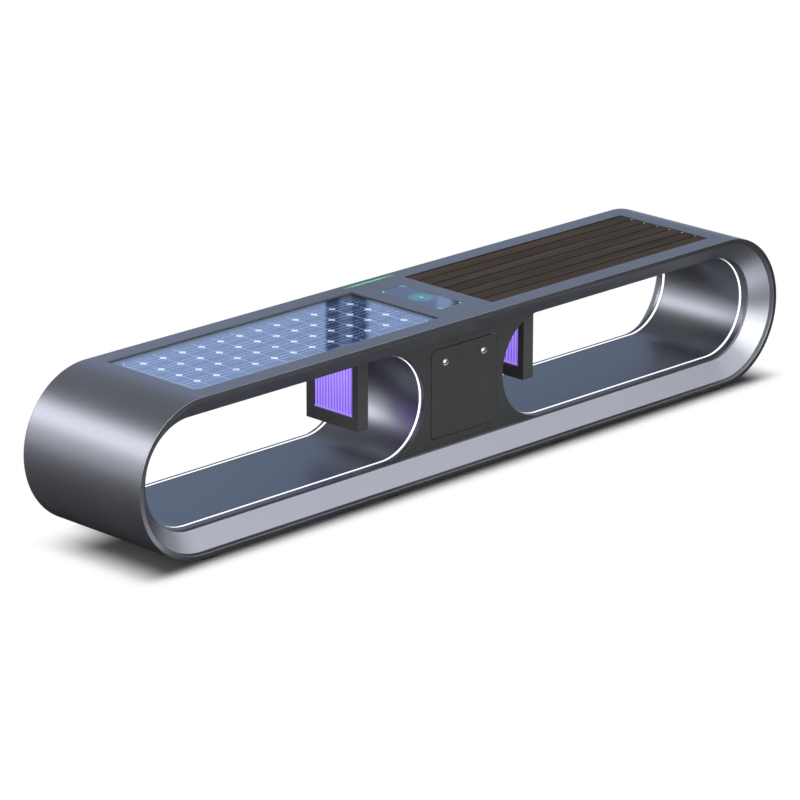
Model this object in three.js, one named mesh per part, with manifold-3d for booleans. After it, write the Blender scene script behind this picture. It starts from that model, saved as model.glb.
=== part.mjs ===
// Solar charging bench: a round-ended sheet-metal shell with two tunnels under the seat, a central
// equipment pillar, and a solar panel, a wireless charger and wooden slats let into the seat.
// Millimetres, +Z up. X runs along the bench and the front faces -Y. The origin is on the ground
// under the middle of the bench.
import * as THREE from 'three';
import { mergeVertices } from 'three/addons/utils/BufferGeometryUtils.js';
import Module from 'manifold-3d';

const wasm = await Module();
wasm.setup();

// Clearances and facets
const fit = 0.3;          // gap between neighbouring pieces
const overrun = 2;        // how far a cutter runs past the face it cuts
const arcSteps = 18;      // facets in each half-round end
const roundSteps = 16;    // facets in a full turn of a lock
const cornerSteps = 2;    // half of the facets in each rounded corner
const pinSides = 12;      // facets in a full turn of a pin or hinge barrel
const studSides = 8;      // facets in a full turn of a stud or its hole
const weld = 0.5;         // how far welded members run into each other

// Shell
const shellLength = 2496;
const shellWidth = 455;
const shellHeight = 440;
const bandWall = 3;
const endRadius = shellHeight / 2;
const straightHalf = shellLength / 2 - endRadius;

// Section of a fascia, from the outer edge inwards
const rimRound = 5.2;         // rounded outer edge
const rimRoundSteps = 3;
const rimFlat = 8;            // flat front face
const rimBevelIn = 5.9;
const rimBevelDeep = 7.3;
const splayIn = 46.1;         // broad splayed chamfer
const splayDeep = 44.8;
const lipIn = 3.3;            // turned lip at the mouth of the tunnels
const lipDeep = 3.6;
const fasciaWall = 3;
const spigotDepth = 9.8;      // part that reaches inside the band
const splayStart = rimRound + rimFlat + rimBevelIn;
const splayEnd = splayStart + splayIn;
const bayRadius = endRadius - splayEnd - lipIn;

// Pillar between the tunnels
const pillarWidth = 306;
const panelRecess = 61.5;     // pillar face behind the front of the shell
const panelWall = 2.5;
const panelEdge = 1;          // rounded edge of the plate
const panelTip = 2;           // height of the plate's blunt tips
const bayInner = pillarWidth / 2 + bayRadius;
const bayMiddle = (straightHalf + bayInner) / 2;
const bayHalf = (straightHalf - bayInner) / 2;

// Tunnel liners and light strips
const linerWall = 3;
const linerFront = panelRecess + panelWall + fit;
const linerLength = shellWidth - 2 * linerFront;
const stripRise = 3;
const stripWidth = 8.8;
const stripSetback = 9.3;     // behind the front edge of the liner

// Feet
const footHeight = 10;
const footLength = 60;
const footWidth = 34;
const footCorner = 8;
const footEndSetback = 33;    // from the end of the straight part of the shell
const footInnerX = 330;
const footEdgeSetback = 29.5; // from the side of the shell
const studRadius = 4;
const studHeight = 20;
const footOuterX = straightHalf - footEndSetback;
const footY = shellWidth / 2 - footEdgeSetback;

// Heights that many pieces share
const axisHeight = footHeight + endRadius;
const topHeight = footHeight + shellHeight;
const bandUnderside = topHeight - bandWall;
const linerOuter = bayRadius + linerWall;

// Cut-outs in the seat
const middleWidth = 206;      // metal between the two long cut-outs
const pocketEndMargin = 25;
const pocketSideMargin = 56.5;
const pocketLength = straightHalf - middleWidth / 2 - pocketEndMargin;
const pocketWidth = shellWidth - 2 * pocketSideMargin;
const pocketCorner = 0.5;
const pocketCentre = middleWidth / 2 + pocketLength / 2;

// Solar panel
const glassThickness = 2;
const glassLap = 7;           // how far the glass reaches under the band
const cellPitch = 69.18;
const cellGap = 1.6;
const cellCorner = 8;
const arrayCorner = 18;       // cropped corners of the whole array
const cellThickness = 0.5;
const backsheetThickness = 0.6;
const cellEdgeMargin = 20;    // from the pocket's edge to the cells
const cellRearMargin = 25;
const cellFrontMargin = 11;
const solarTrayWall = 2;
const boxLength = 100;        // junction box
const boxWidth = 60;
const boxHeight = 14;
const boxCorner = 4;
const boxFromMiddle = 210;
const boxY = -60;

// Wooden slats
const slatCount = 7;
const slatGap = 3;
const slatSideGap = 1.5;
const slatEndGap = 1.5;
const slatThickness = 20;
const slatRound = 2;
const slatRecess = 2.6;
const woodTrayWall = 2;
const trayDepth = 25;         // from the underside of the band to the rails
const bearerCount = 4;
const bearerWidth = 30;
const bearerSetback = 18;     // middle of the end bearers from the end of the tray
const drainLength = 60;
const drainWidth = 12;
const drainCount = 3;
const lugLength = 14;         // upright lugs that keep the slats apart
const lugSetback = 4;
const lugRecess = 2;

// Seat frame and base frame
const railWidth = 40;
const seatRailY = 110;
const baseRailY = 100;
const railEndSetback = 18;
const crossWidth = 60;
const crossHeight = 20;
const crossEndSetback = 19.5; // from the side of the shell
const seatCrossWidth = 24;
const seatCrossCount = 2;     // under each tray
const postWidth = 24;
const postGap = 4;            // between a post and the side of a tunnel
const postDepth = 60;
const postX = pillarWidth / 2 - linerWall - postGap - postWidth / 2;

// Wireless charger
const chargerLength = 236;
const chargerWidth = 90;
const chargerCorner = 14;
const chargerCoverThickness = 4;
const chargerRecess = 2.5;
const chargerCaseWall = 2;
const chargerCaseInset = 1;
const coilOuter = 36;
const coilInner = 14;
const coilThickness = 3;

// Status lens
const lensLength = 200;
const lensWidth = 6;
const lensHeight = 8;
const lensRecess = 0.2;
const lensSetback = 21;       // from the rear side of the shell

// Insect lamps
const lampThickness = 39;
const lampWidth = 200;
const lampHeight = 219;
const lampStandoff = 1.5;
const lampSideBorder = 22;
const lampBottomBorder = 34;
const lampTopBorder = 22;
const lampRecess = 7;
const lampPanelThickness = 8;
const lampPlate = 3;          // end plates of the grille
const barPitch = 11;
const barWidth = 4;
const barDepth = 4;

// Service door, its frame and its seal
const doorMargin = 25;        // pillar face left round the door
const doorGap = 2;
const doorCorner = 18;
const frameWall = 2.5;
const frameLap = 10;          // how far the frame reaches behind the door
const sealWidth = 7;
const sealThickness = 3.6;
const doorWidth = pillarWidth - 2 * doorMargin;
const doorHeight = 2 * bayRadius - 2 * doorMargin;

// Hinges
const hingeInset = 43;        // middle of a hinge from the side of the door
const hingeDeep = 10;         // pin behind the face of the door
const hingeUp = 22;           // pin above the lower edge of the door
const barrelRadius = 6;
const barrelWidth = 24;
const earWidth = 4.5;
const earGap = 0.5;
const pinRadius = 3;
const pinHeadRadius = 4.5;
const pinHead = 2;
const armReach = 27;          // how far the bracket stands back from the pin
const armWall = 3.5;
const bracketDrop = 38;
const bracketFoot = 12;
const hingeX = doorWidth / 2 - hingeInset;

// Quarter-turn locks
const lockInset = 53;         // from the side of the door
const lockDrop = 40.5;        // below the upper edge of the door
const flangeRadius = 10.5;
const flangeHeight = 1.5;
const barrelLockRadius = 8;
const barrelBehind = 5;       // threaded barrel behind the door
const nutRadius = 12;
const nutHeight = 3.5;
const nutSides = 6;
const spindleRadius = 5;
const domeRadius = 9.5;
const domeHeight = 5;
const domeSteps = 5;
const pawlLength = 38;
const pawlWidth = 16;
const pawlThickness = 3;
const pawlGap = 0.5;
const lockX = doorWidth / 2 - lockInset;
const lockUp = doorHeight / 2 - lockDrop;

// Equipment behind the door
const plateWall = 2;
const plateHeadroom = 15;     // between the plate and the tunnels' upper side
const shelfHeight = 90;       // above the underside of the shell
const shelfSpare = 14;        // shelf in front of the battery
const shelfSideGap = 7;       // between the shelf and the posts
const shelfWidth = 2 * postX - postWidth - 2 * shelfSideGap;
const batterySideGap = 15;
const batteryFrontGap = 18.4; // between the battery and the hinge brackets
const batteryEdge = 4;
const batteryLength = shelfWidth - 2 * batterySideGap;
const terminalRadius = 6;
const terminalHeight = 7;
const terminalInset = 30;     // from the ends of the battery
const equipmentGap = 18;      // between the battery and what hangs above it
const leadRoom = 38;          // above what hangs on the plate
const hungGap = 13;           // beside and between what hangs on the plate
const hungLength = (shelfWidth - 3 * hungGap) / 2;
const hungX = (hungLength + hungGap) / 2;
const controllerWidth = 42;
const controllerHeight = 96;
const finCount = 9;
const finDepth = 8;
const finWidth = 3;
const driverWidth = 36;
const driverHeight = 88;
const driverEar = 6;          // fixing ears above and below the driver
const driverEarWall = 2;

// Leads
const leadRadius = 3.5;
const leadSides = 8;
const leadSteps = 18;
const grommetRadius = 6;
const leadBend = 24;
const portOffset = 30;
const chargerExitX = 20;

// Colours and finishes
const paint = new THREE.MeshStandardMaterial({ color: 0x55585e, roughness: 0.42, metalness: 0.55 });
const panelPaint = new THREE.MeshStandardMaterial({ color: 0x3b3c3e, roughness: 0.6, metalness: 0.3 });
const lampPaint = new THREE.MeshStandardMaterial({ color: 0x3f3f45, roughness: 0.55, metalness: 0.3 });
const galvanised = new THREE.MeshStandardMaterial({ color: 0x9a9ea3, roughness: 0.5, metalness: 0.8 });
const zincPlate = new THREE.MeshStandardMaterial({ color: 0xb9bbbe, roughness: 0.35, metalness: 0.9 });
const chromePlate = new THREE.MeshStandardMaterial({ color: 0xd9dadd, roughness: 0.12, metalness: 1 });
const blackRubber = new THREE.MeshStandardMaterial({ color: 0x1c1c1d, roughness: 0.85, metalness: 0 });
const whiteLight = new THREE.MeshStandardMaterial({ color: 0xffffff, emissive: 0xffffff, roughness: 0.4 });
const greenLight = new THREE.MeshStandardMaterial({ color: 0x5dfc9b, emissive: 0x2ff07a, roughness: 0.4 });
const violetLight = new THREE.MeshStandardMaterial({ color: 0x9b6cff, emissive: 0x8a55ff, roughness: 0.4 });
const violetBars = new THREE.MeshStandardMaterial({ color: 0x7a5cc8, roughness: 0.5, metalness: 0.2 });
const clearGlass = new THREE.MeshStandardMaterial({
  color: 0xaec4dc, roughness: 0.08, metalness: 0, transparent: true, opacity: 0.35,
});
const silicon = new THREE.MeshStandardMaterial({ color: 0x5d7fb8, roughness: 0.3, metalness: 0.2 });
const chargerGlass = new THREE.MeshStandardMaterial({
  color: 0x9fb4d0, roughness: 0.15, metalness: 0, transparent: true, opacity: 0.5,
});
const copper = new THREE.MeshStandardMaterial({ color: 0xb8734a, roughness: 0.4, metalness: 0.9 });
const blackPlastic = new THREE.MeshStandardMaterial({ color: 0x222326, roughness: 0.6, metalness: 0 });
const greyPlastic = new THREE.MeshStandardMaterial({ color: 0x6e7276, roughness: 0.6, metalness: 0 });
const brownWood = new THREE.MeshStandardMaterial({ color: 0x5a4a40, roughness: 0.6, metalness: 0 });
const redWood = new THREE.MeshStandardMaterial({ color: 0x6b4a3d, roughness: 0.6, metalness: 0 });
const aluminium = new THREE.MeshStandardMaterial({ color: 0xc4c7ca, roughness: 0.35, metalness: 0.9 });

// Turning a closed geometry into a solid that can be cut and joined, and back
function toSolid(geometry) {
  const bare = geometry.clone();
  bare.deleteAttribute('normal');
  bare.deleteAttribute('uv');
  const merged = mergeVertices(bare);
  return new wasm.Manifold(new wasm.Mesh({
    numProp: 3,
    vertProperties: new Float32Array(merged.attributes.position.array),
    triVerts: new Uint32Array(merged.index.array),
  }));
}

function toGeometry(solid) {
  const mesh = solid.getMesh();
  const geometry = new THREE.BufferGeometry();
  geometry.setAttribute('position', new THREE.BufferAttribute(mesh.vertProperties, 3));
  geometry.setIndex(new THREE.BufferAttribute(mesh.triVerts, 1));
  geometry.computeVertexNormals();
  return geometry;
}

function cut(base, tools) {
  return toGeometry(tools.reduce((left, tool) => left.subtract(toSolid(tool)), toSolid(base)));
}

function join(pieces) {
  return toGeometry(pieces.slice(1).reduce((sum, piece) => sum.add(toSolid(piece)), toSolid(pieces[0])));
}

// Simple forms placed by their middle, or by the middle of one face
function block(length, width, height, x = 0, y = 0, z = 0) {
  return new THREE.BoxGeometry(length, width, height).translate(x, y, z);
}

function upTo(top, bottom, length, width, x, y) {
  return block(length, width, top - bottom, x, y, (top + bottom) / 2);
}

function disc(radius, height, sides = roundSteps) {
  return new THREE.CylinderGeometry(radius, radius, height, sides);
}

// A round bar that runs along X
function across(radius, length) {
  return disc(radius, length, pinSides).rotateZ(Math.PI / 2);
}

function roundedRectangle(length, width, corner) {
  const x = length / 2 - corner;
  const y = width / 2 - corner;
  const shape = new THREE.Shape();
  shape.absarc(x, y, corner, 0, Math.PI / 2);
  shape.absarc(-x, y, corner, Math.PI / 2, Math.PI);
  shape.absarc(-x, -y, corner, Math.PI, Math.PI * 1.5);
  shape.absarc(x, -y, corner, Math.PI * 1.5, Math.PI * 2);
  return shape;
}

// A flat shape given thickness upwards from the XY plane
function slab(shape, thickness, steps = cornerSteps) {
  return new THREE.ExtrudeGeometry(shape, { depth: thickness, bevelEnabled: false, curveSegments: steps });
}

// A shape drawn in X and Z given thickness from the XZ plane towards +Y
function upright(shape, thickness, bevel = 0) {
  const settings = { depth: thickness - 2 * bevel, bevelEnabled: bevel > 0, curveSegments: cornerSteps };
  Object.assign(settings, { bevelThickness: bevel, bevelSize: bevel, bevelOffset: -bevel, bevelSegments: 1 });
  return new THREE.ExtrudeGeometry(shape, settings)
    .rotateX(Math.PI / 2)
    .translate(0, thickness - bevel, 0);
}

// Points round a stadium: two half circles joined by straight runs
function stadiumPoints(half, radius) {
  const points = [];
  for (const side of [1, -1]) {
    for (let i = 0; i <= arcSteps; i++) {
      const angle = side * Math.PI / 2 - Math.PI * i / arcSteps;
      points.push(new THREE.Vector2(side * half + radius * Math.cos(angle), radius * Math.sin(angle)));
    }
  }
  return points.reverse();
}

// A tube of stadium section, running from y = 0 to its length
function stadiumTube(half, outer, inner, length) {
  const shape = new THREE.Shape(stadiumPoints(half, outer));
  shape.holes.push(new THREE.Path(stadiumPoints(half, inner)));
  return upright(shape, length);
}

// A ring swept round the stadium from a closed profile of inward steps and depths
function stadiumRing(profile) {
  const rings = profile.map(([inward, deep]) =>
    stadiumPoints(straightHalf, endRadius - inward).map((p) => [p.x, deep, p.y]));
  const count = rings[0].length;
  const position = [];
  const corner = (ring, point) => position.push(...rings[ring % rings.length][point % count]);
  for (let i = 0; i < rings.length; i++) {
    for (let j = 0; j < count; j++) {
      corner(i, j);
      corner(i, j + 1);
      corner(i + 1, j + 1);
      corner(i, j);
      corner(i + 1, j + 1);
      corner(i + 1, j);
    }
  }
  const geometry = new THREE.BufferGeometry();
  geometry.setAttribute('position', new THREE.Float32BufferAttribute(position, 3));
  geometry.computeVertexNormals();
  return geometry;
}

const bench = new THREE.Group();

function add(parent, name, geometry, material, x = 0, y = 0, z = 0) {
  const mesh = new THREE.Mesh(geometry, material);
  mesh.name = name;
  mesh.position.set(x, y, z);
  parent.add(mesh);
  return mesh;
}

function groupAt(x, y, z) {
  const group = new THREE.Group();
  group.position.set(x, y, z);
  bench.add(group);
  return group;
}

// Shell group, with its origin on the axis of the round ends
const shell = groupAt(0, 0, axisHeight);

// Outer band: rolled sheet with the seat's cut-outs and the stud holes
function outerBand() {
  const length = shellWidth - 2 * (rimRound + fit);
  const tube = stadiumTube(straightHalf, endRadius, endRadius - bandWall, length)
    .translate(0, -length / 2, 0);
  const deep = bandWall + 2 * overrun;
  const seatCut = (shape, x, y) => slab(shape, deep).translate(x, y, endRadius - bandWall - overrun);
  const pocket = roundedRectangle(pocketLength, pocketWidth, pocketCorner);
  const cuts = [
    seatCut(pocket, -pocketCentre, 0),
    seatCut(pocket, pocketCentre, 0),
    seatCut(roundedRectangle(chargerWidth, chargerLength, chargerCorner), 0, 0),
    seatCut(roundedRectangle(lensLength + 2 * fit, lensWidth + 2 * fit, lensWidth / 2), 0,
      shellWidth / 2 - lensSetback),
  ];
  const studCut = disc(studRadius + 2 * fit, deep, studSides).rotateX(Math.PI / 2);
  for (const [x, y] of footPlaces()) {
    cuts.push(studCut.clone().translate(x, y, -endRadius + bandWall / 2));
  }
  return cut(tube, cuts);
}

function footPlaces() {
  const places = [];
  for (const y of [-footY, footY]) {
    for (const x of [-footOuterX, -footInnerX, footInnerX, footOuterX]) places.push([x, y]);
  }
  return places;
}

add(shell, 'outer_band', outerBand(), paint);

// Fascias: rim, splayed chamfer and turned lip in one pressed ring, as a pair of opposite hands
function fascia(side) {
  const slope = splayDeep / splayIn;
  const behind = fasciaWall * Math.hypot(1, slope);
  const backAt = (inward) => rimBevelDeep + (inward - splayStart) * slope + behind;
  const flangeOuter = splayEnd + lipIn - fasciaWall;
  const spigotOuter = bandWall + fit;
  const spigotInner = spigotOuter + fasciaWall;
  const rimBack = splayStart + (fasciaWall - rimBevelDeep - behind) / slope;
  const profile = [];
  for (let i = 0; i <= rimRoundSteps; i++) {
    const angle = Math.PI / 2 * i / rimRoundSteps;
    profile.push([rimRound * (1 - Math.cos(angle)), rimRound * (1 - Math.sin(angle))]);
  }
  profile.push([rimRound + rimFlat, 0]);
  profile.push([splayStart, rimBevelDeep]);
  profile.push([splayEnd, rimBevelDeep + splayDeep]);
  profile.push([splayEnd + lipIn, rimBevelDeep + splayDeep + lipDeep]);
  profile.push([splayEnd + lipIn, panelRecess + panelWall]);
  profile.push([flangeOuter, panelRecess + panelWall]);
  profile.push([flangeOuter, backAt(flangeOuter)]);
  profile.push([Math.max(rimBack, spigotInner), backAt(Math.max(rimBack, spigotInner))]);
  profile.push([spigotInner, fasciaWall]);
  profile.push([spigotInner, rimRound + spigotDepth]);
  profile.push([spigotOuter, rimRound + spigotDepth]);
  profile.push([spigotOuter, rimRound]);
  if (side > 0) profile.reverse();
  return stadiumRing(profile.map(([inward, deep]) => [inward, -side * deep]));
}

add(shell, 'front_fascia', fascia(-1), paint, 0, -shellWidth / 2, 0);
add(shell, 'rear_fascia', fascia(1), paint, 0, shellWidth / 2, 0);

// Tunnel liners and the light strips round their mouths
const liner = stadiumTube(bayHalf, linerOuter, bayRadius, linerLength).translate(0, -linerLength / 2, 0);
const stripOuter = bayRadius - fit;
const strip = stadiumTube(bayHalf, stripOuter, stripOuter - stripRise, stripWidth)
  .translate(0, -stripWidth / 2, 0);
const stripY = linerLength / 2 - stripSetback - stripWidth / 2;
for (const [side, x] of [['left', -bayMiddle], ['right', bayMiddle]]) {
  add(shell, `${side}_bay_liner`, liner, paint, x, 0, 0);
  add(shell, `front_${side}_light_strip`, strip, whiteLight, x, -stripY, 0);
  add(shell, `rear_${side}_light_strip`, strip, whiteLight, x, stripY, 0);
}

// Pillar panels: plates with hollowed sides that follow the tunnels
function pillarOutline() {
  const half = bayRadius - fit;
  const tip = Math.asin((half - panelTip) / bayRadius);
  const tipX = bayInner - bayRadius * Math.cos(tip);
  const shape = new THREE.Shape();
  shape.moveTo(-tipX, -half);
  shape.lineTo(tipX, -half);
  sideCurve(shape, 1, tip);
  shape.lineTo(tipX, half);
  shape.lineTo(-tipX, half);
  sideCurve(shape, -1, tip);
  return shape;
}

function sideCurve(shape, side, tip) {
  for (let i = 0; i <= arcSteps; i++) {
    const angle = side * tip * (2 * i / arcSteps - 1);
    shape.lineTo(side * (bayInner - bayRadius * Math.cos(angle)), bayRadius * Math.sin(angle));
  }
}

const panelY = shellWidth / 2 - panelRecess;
const doorway = roundedRectangle(doorWidth + 2 * doorGap, doorHeight + 2 * doorGap, doorCorner + doorGap);
const pillarFront = pillarOutline();
pillarFront.holes.push(doorway);
add(shell, 'front_pillar_panel', upright(pillarFront, panelWall, panelEdge), panelPaint, 0, -panelY, 0);
add(shell, 'rear_pillar_panel', upright(pillarOutline(), panelWall, panelEdge), panelPaint,
  0, panelY - panelWall, 0);

// Door frame: an upside-down U behind the doorway that the seal and the pawls bear on
const frameFront = -panelY + panelWall + fit;
function arch(outerLap, innerLap, thickness) {
  const outer = slab(roundedRectangle(doorWidth + 2 * outerLap, doorHeight + 2 * outerLap,
    doorCorner + outerLap), thickness);
  const inner = slab(roundedRectangle(doorWidth + 2 * innerLap, doorHeight + 2 * innerLap,
    doorCorner + innerLap), thickness + 2 * overrun).translate(0, 0, -overrun);
  const foot = doorCorner + outerLap;
  const open = block(doorWidth + 4 * foot, foot * 2, thickness + 4 * overrun, 0, -doorHeight / 2, 0);
  return cut(outer, [inner, open]).rotateX(Math.PI / 2).translate(0, thickness, 0);
}

function doorFrame() {
  const wall = arch(doorGap + fit + frameWall, doorGap + fit, sealThickness + weld);
  const lip = arch(doorGap + fit + frameWall, -frameLap, frameWall).translate(0, sealThickness, 0);
  return join([wall, lip]);
}

add(shell, 'door_frame', doorFrame(), galvanised, 0, frameFront, 0);
add(shell, 'door_seal', arch(-fit, -fit - sealWidth, sealThickness - fit), blackRubber,
  0, frameFront, 0);

// Feet: rubber pads, each with a stud that screws up into the base frame
function foot() {
  const pad = slab(roundedRectangle(footLength, footWidth, footCorner), footHeight - fit, 1);
  const stud = disc(studRadius, studHeight + weld, studSides).rotateX(Math.PI / 2)
    .translate(0, 0, footHeight - fit + (studHeight - weld) / 2);
  return join([pad, stud]);
}

const footForm = foot();
footPlaces().forEach(([x, y], index) => add(bench, `foot_${index + 1}`, footForm, blackRubber, x, y, 0));

// Inner frame: cross members over the feet, rails under the tunnels, and the two pillar posts
const baseTop = axisHeight - linerOuter - fit;
const baseBottom = footHeight + bandWall + fit;
const seatBottom = axisHeight + linerOuter + fit;
const trayBottom = bandUnderside - trayDepth;
const railLength = 2 * (straightHalf - railEndSetback);

function innerFrame() {
  const crossTop = baseBottom + crossHeight;
  const crossLength = shellWidth - 2 * crossEndSetback;
  const pieces = [];
  for (const side of [-1, 1]) {
    pieces.push(upTo(baseTop, crossTop - weld, railLength, railWidth, 0, side * baseRailY));
    for (const x of [footInnerX, footOuterX]) {
      pieces.push(upTo(crossTop, baseBottom, crossWidth, crossLength, side * x, 0));
    }
    pieces.push(upTo(baseTop, crossTop, postWidth, 2 * baseRailY, side * postX, 0));
    pieces.push(upTo(seatBottom - fit, baseTop - weld, postWidth, postDepth, side * postX, 0));
  }
  const bore = disc(studRadius + fit, crossHeight + 2 * overrun, studSides).rotateX(Math.PI / 2);
  const bores = footPlaces().map(([x, y]) => bore.clone().translate(x, y, baseBottom + crossHeight / 2));
  return cut(join(pieces), bores);
}

add(bench, 'inner_frame', innerFrame(), galvanised);

// Seat frame: two rails and their cross members between the tunnels and the trays
const leadLevel = (seatBottom + trayBottom) / 2;

function seatFrame() {
  const top = trayBottom - fit;
  const pieces = [];
  for (const side of [-1, 1]) {
    pieces.push(upTo(top, seatBottom, railLength, railWidth, 0, side * seatRailY));
    pieces.push(upTo(top, seatBottom, postWidth, 2 * seatRailY, side * postX, 0));
    for (let i = 1; i <= seatCrossCount; i++) {
      const x = side * (pocketCentre + pocketLength * (i / seatCrossCount - 1 / 2) - pocketEndMargin);
      pieces.push(upTo(top, seatBottom, seatCrossWidth, 2 * seatRailY, x, 0));
    }
  }
  const grommet = across(grommetRadius, postWidth + 2 * overrun);
  return cut(join(pieces), [grommet.translate(-postX, boxY, leadLevel)]);
}

add(bench, 'seat_frame', seatFrame(), galvanised);

// Solar panel: glass under the edge of the band, the cells, the tray behind them, the junction box
const solar = groupAt(-pocketCentre, 0, bandUnderside - fit);
const glassLength = pocketLength + 2 * glassLap;
const glassWidth = pocketWidth + 2 * glassLap;
const cellTop = -glassThickness - fit;
const backsheetTop = cellTop - cellThickness;
const solarTrayTop = backsheetTop - backsheetThickness - fit;

// The array is cut from a regular grid of wafers, so those along its edges are narrower
const cellArea = {
  left: -pocketLength / 2 + cellEdgeMargin,
  right: pocketLength / 2 - cellEdgeMargin,
  low: -pocketWidth / 2 + cellFrontMargin,
  high: pocketWidth / 2 - cellRearMargin,
};

// Where the grid's lines cross a span, with the ends of the span where they leave room for a wafer
function gridSpan(start, end) {
  const lines = [start];
  const first = Math.ceil(start / cellPitch - 1 / 2);
  for (let k = first; (k + 1 / 2) * cellPitch < end; k++) {
    lines.push((k + 1 / 2) * cellPitch);
  }
  lines.push(end);
  const least = arrayCorner + cellCorner + cellGap;
  return lines.filter((line, i) => {
    const toNext = i === 0 ? lines[1] - line : least;
    const toLast = i === lines.length - 1 ? line - lines[i - 1] : least;
    return toNext >= least && toLast >= least;
  });
}

// A wafer has cropped corners where four wafers meet and at the corners of the array, and square
// ones along the array's edges
function wafer(left, right, low, high) {
  const inX = (x) => x > cellArea.left && x < cellArea.right;
  const inY = (y) => y > cellArea.low && y < cellArea.high;
  const x0 = left + cellGap / 2;
  const x1 = right - cellGap / 2;
  const y0 = low + cellGap / 2;
  const y1 = high - cellGap / 2;
  const points = [];
  const corner = (x, y, toX, toY, xFirst, insideX, insideY) => {
    const crop = insideX ? cellCorner : arrayCorner;
    const pair = insideX === insideY
      ? [new THREE.Vector2(x + toX * crop, y), new THREE.Vector2(x, y + toY * crop)]
      : [new THREE.Vector2(x, y)];
    points.push(...(xFirst ? pair : pair.reverse()));
  };
  corner(x0, y0, 1, 1, false, inX(left), inY(low));
  corner(x1, y0, -1, 1, true, inX(right), inY(low));
  corner(x1, y1, -1, -1, false, inX(right), inY(high));
  corner(x0, y1, 1, -1, true, inX(left), inY(high));
  return slab(new THREE.Shape(points), cellThickness + backsheetThickness / 2)
    .translate(0, 0, backsheetTop - backsheetThickness / 2);
}

// The wafers stand on a backsheet that reaches the edges of the glass
function solarCells() {
  const columns = gridSpan(cellArea.left, cellArea.right);
  const rows = gridSpan(cellArea.low, cellArea.high);
  const sheet = upTo(backsheetTop, backsheetTop - backsheetThickness, glassLength, glassWidth, 0, 0);
  const wafers = [];
  for (let i = 1; i < columns.length; i++) {
    for (let j = 1; j < rows.length; j++) {
      wafers.push(wafer(columns[i - 1], columns[i], rows[j - 1], rows[j]));
    }
  }
  return join([sheet, ...wafers]);
}

function solarTray() {
  const depth = trayDepth - fit + solarTrayTop;
  const outer = block(glassLength, glassWidth, depth, 0, 0, solarTrayTop - depth / 2);
  const inner = block(glassLength - 2 * solarTrayWall, glassWidth - 2 * solarTrayWall, depth,
    0, 0, solarTrayTop - depth / 2 - solarTrayWall);
  return cut(outer, [inner]);
}

const boxTop = solarTrayTop - solarTrayWall - fit;
const boxX = pocketCentre - boxFromMiddle;
add(solar, 'solar_glass', block(glassLength, glassWidth, glassThickness), clearGlass,
  0, 0, -glassThickness / 2);
add(solar, 'solar_cells', solarCells(), silicon);
add(solar, 'solar_tray', solarTray(), aluminium);
add(solar, 'junction_box', slab(roundedRectangle(boxLength, boxWidth, boxCorner), boxHeight), blackPlastic,
  boxX, boxY, boxTop - boxHeight);

// Wooden slats
const wood = groupAt(pocketCentre, 0, 0);
const slatTop = topHeight - slatRecess;
const slatWidth = (pocketWidth - 2 * slatSideGap - (slatCount - 1) * slatGap) / slatCount;
const slatLength = pocketLength - 2 * slatEndGap;
const slatPitch = slatWidth + slatGap;

// A shape drawn in Y and Z given length along X, centred
function along(shape, length, steps = cornerSteps) {
  const basis = new THREE.Matrix4().makeBasis(
    new THREE.Vector3(0, 1, 0), new THREE.Vector3(0, 0, 1), new THREE.Vector3(1, 0, 0));
  return slab(shape, length, steps).applyMatrix4(basis).translate(-length / 2, 0, 0);
}

// Tray with drain slots, cross bearers under the slats, and lugs between the ends of the slats
function woodTray() {
  const top = bandUnderside - fit;
  const floor = trayBottom + woodTrayWall;
  const wall = 2 * woodTrayWall;
  const pan = upTo(top, trayBottom, pocketLength + wall, pocketWidth + wall, 0, 0);
  const inside = upTo(top + overrun, floor, pocketLength, pocketWidth, 0, 0);
  const members = [];
  const drains = [];
  const bearerTop = slatTop - slatThickness - fit;
  for (let i = 0; i < bearerCount; i++) {
    const x = (pocketLength - 2 * bearerSetback) * (i / (bearerCount - 1) - 1 / 2);
    members.push(upTo(bearerTop, floor - weld, bearerWidth, pocketWidth, x, 0));
  }
  for (let i = 0; i < drainCount; i++) {
    const x = pocketLength * ((i + 1 / 2) / drainCount - 1 / 2);
    drains.push(upTo(floor + overrun, trayBottom - overrun, drainLength, drainWidth, x, 0));
  }
  for (const end of [-1, 1]) {
    for (let i = 1; i < slatCount; i++) {
      const x = end * (slatLength / 2 - lugSetback - lugLength / 2);
      const y = (i - slatCount / 2) * slatPitch;
      members.push(upTo(slatTop - lugRecess, bearerTop - weld, lugLength, slatGap - 2 * fit, x, y));
    }
  }
  return cut(join([cut(pan, [inside]), ...members]), drains);
}

add(wood, 'wood_tray', woodTray(), galvanised);
const slatForm = along(roundedRectangle(slatWidth, slatThickness, slatRound), slatLength, 1);
for (let i = 0; i < slatCount; i++) {
  const y = (i - (slatCount - 1) / 2) * slatPitch;
  const finish = i === 0 || i === slatCount - 1 ? redWood : brownWood;
  add(wood, `slat_${i + 1}`, slatForm, finish, 0, y, slatTop - slatThickness / 2);
}

// Wireless charger: translucent cover, coil on its pedestal, case on the rails
const charger = groupAt(0, 0, 0);
const coverTop = topHeight - chargerRecess;
const coverBottom = coverTop - chargerCoverThickness;
const coilBottom = coverBottom - 2 * fit - coilThickness;

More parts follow.
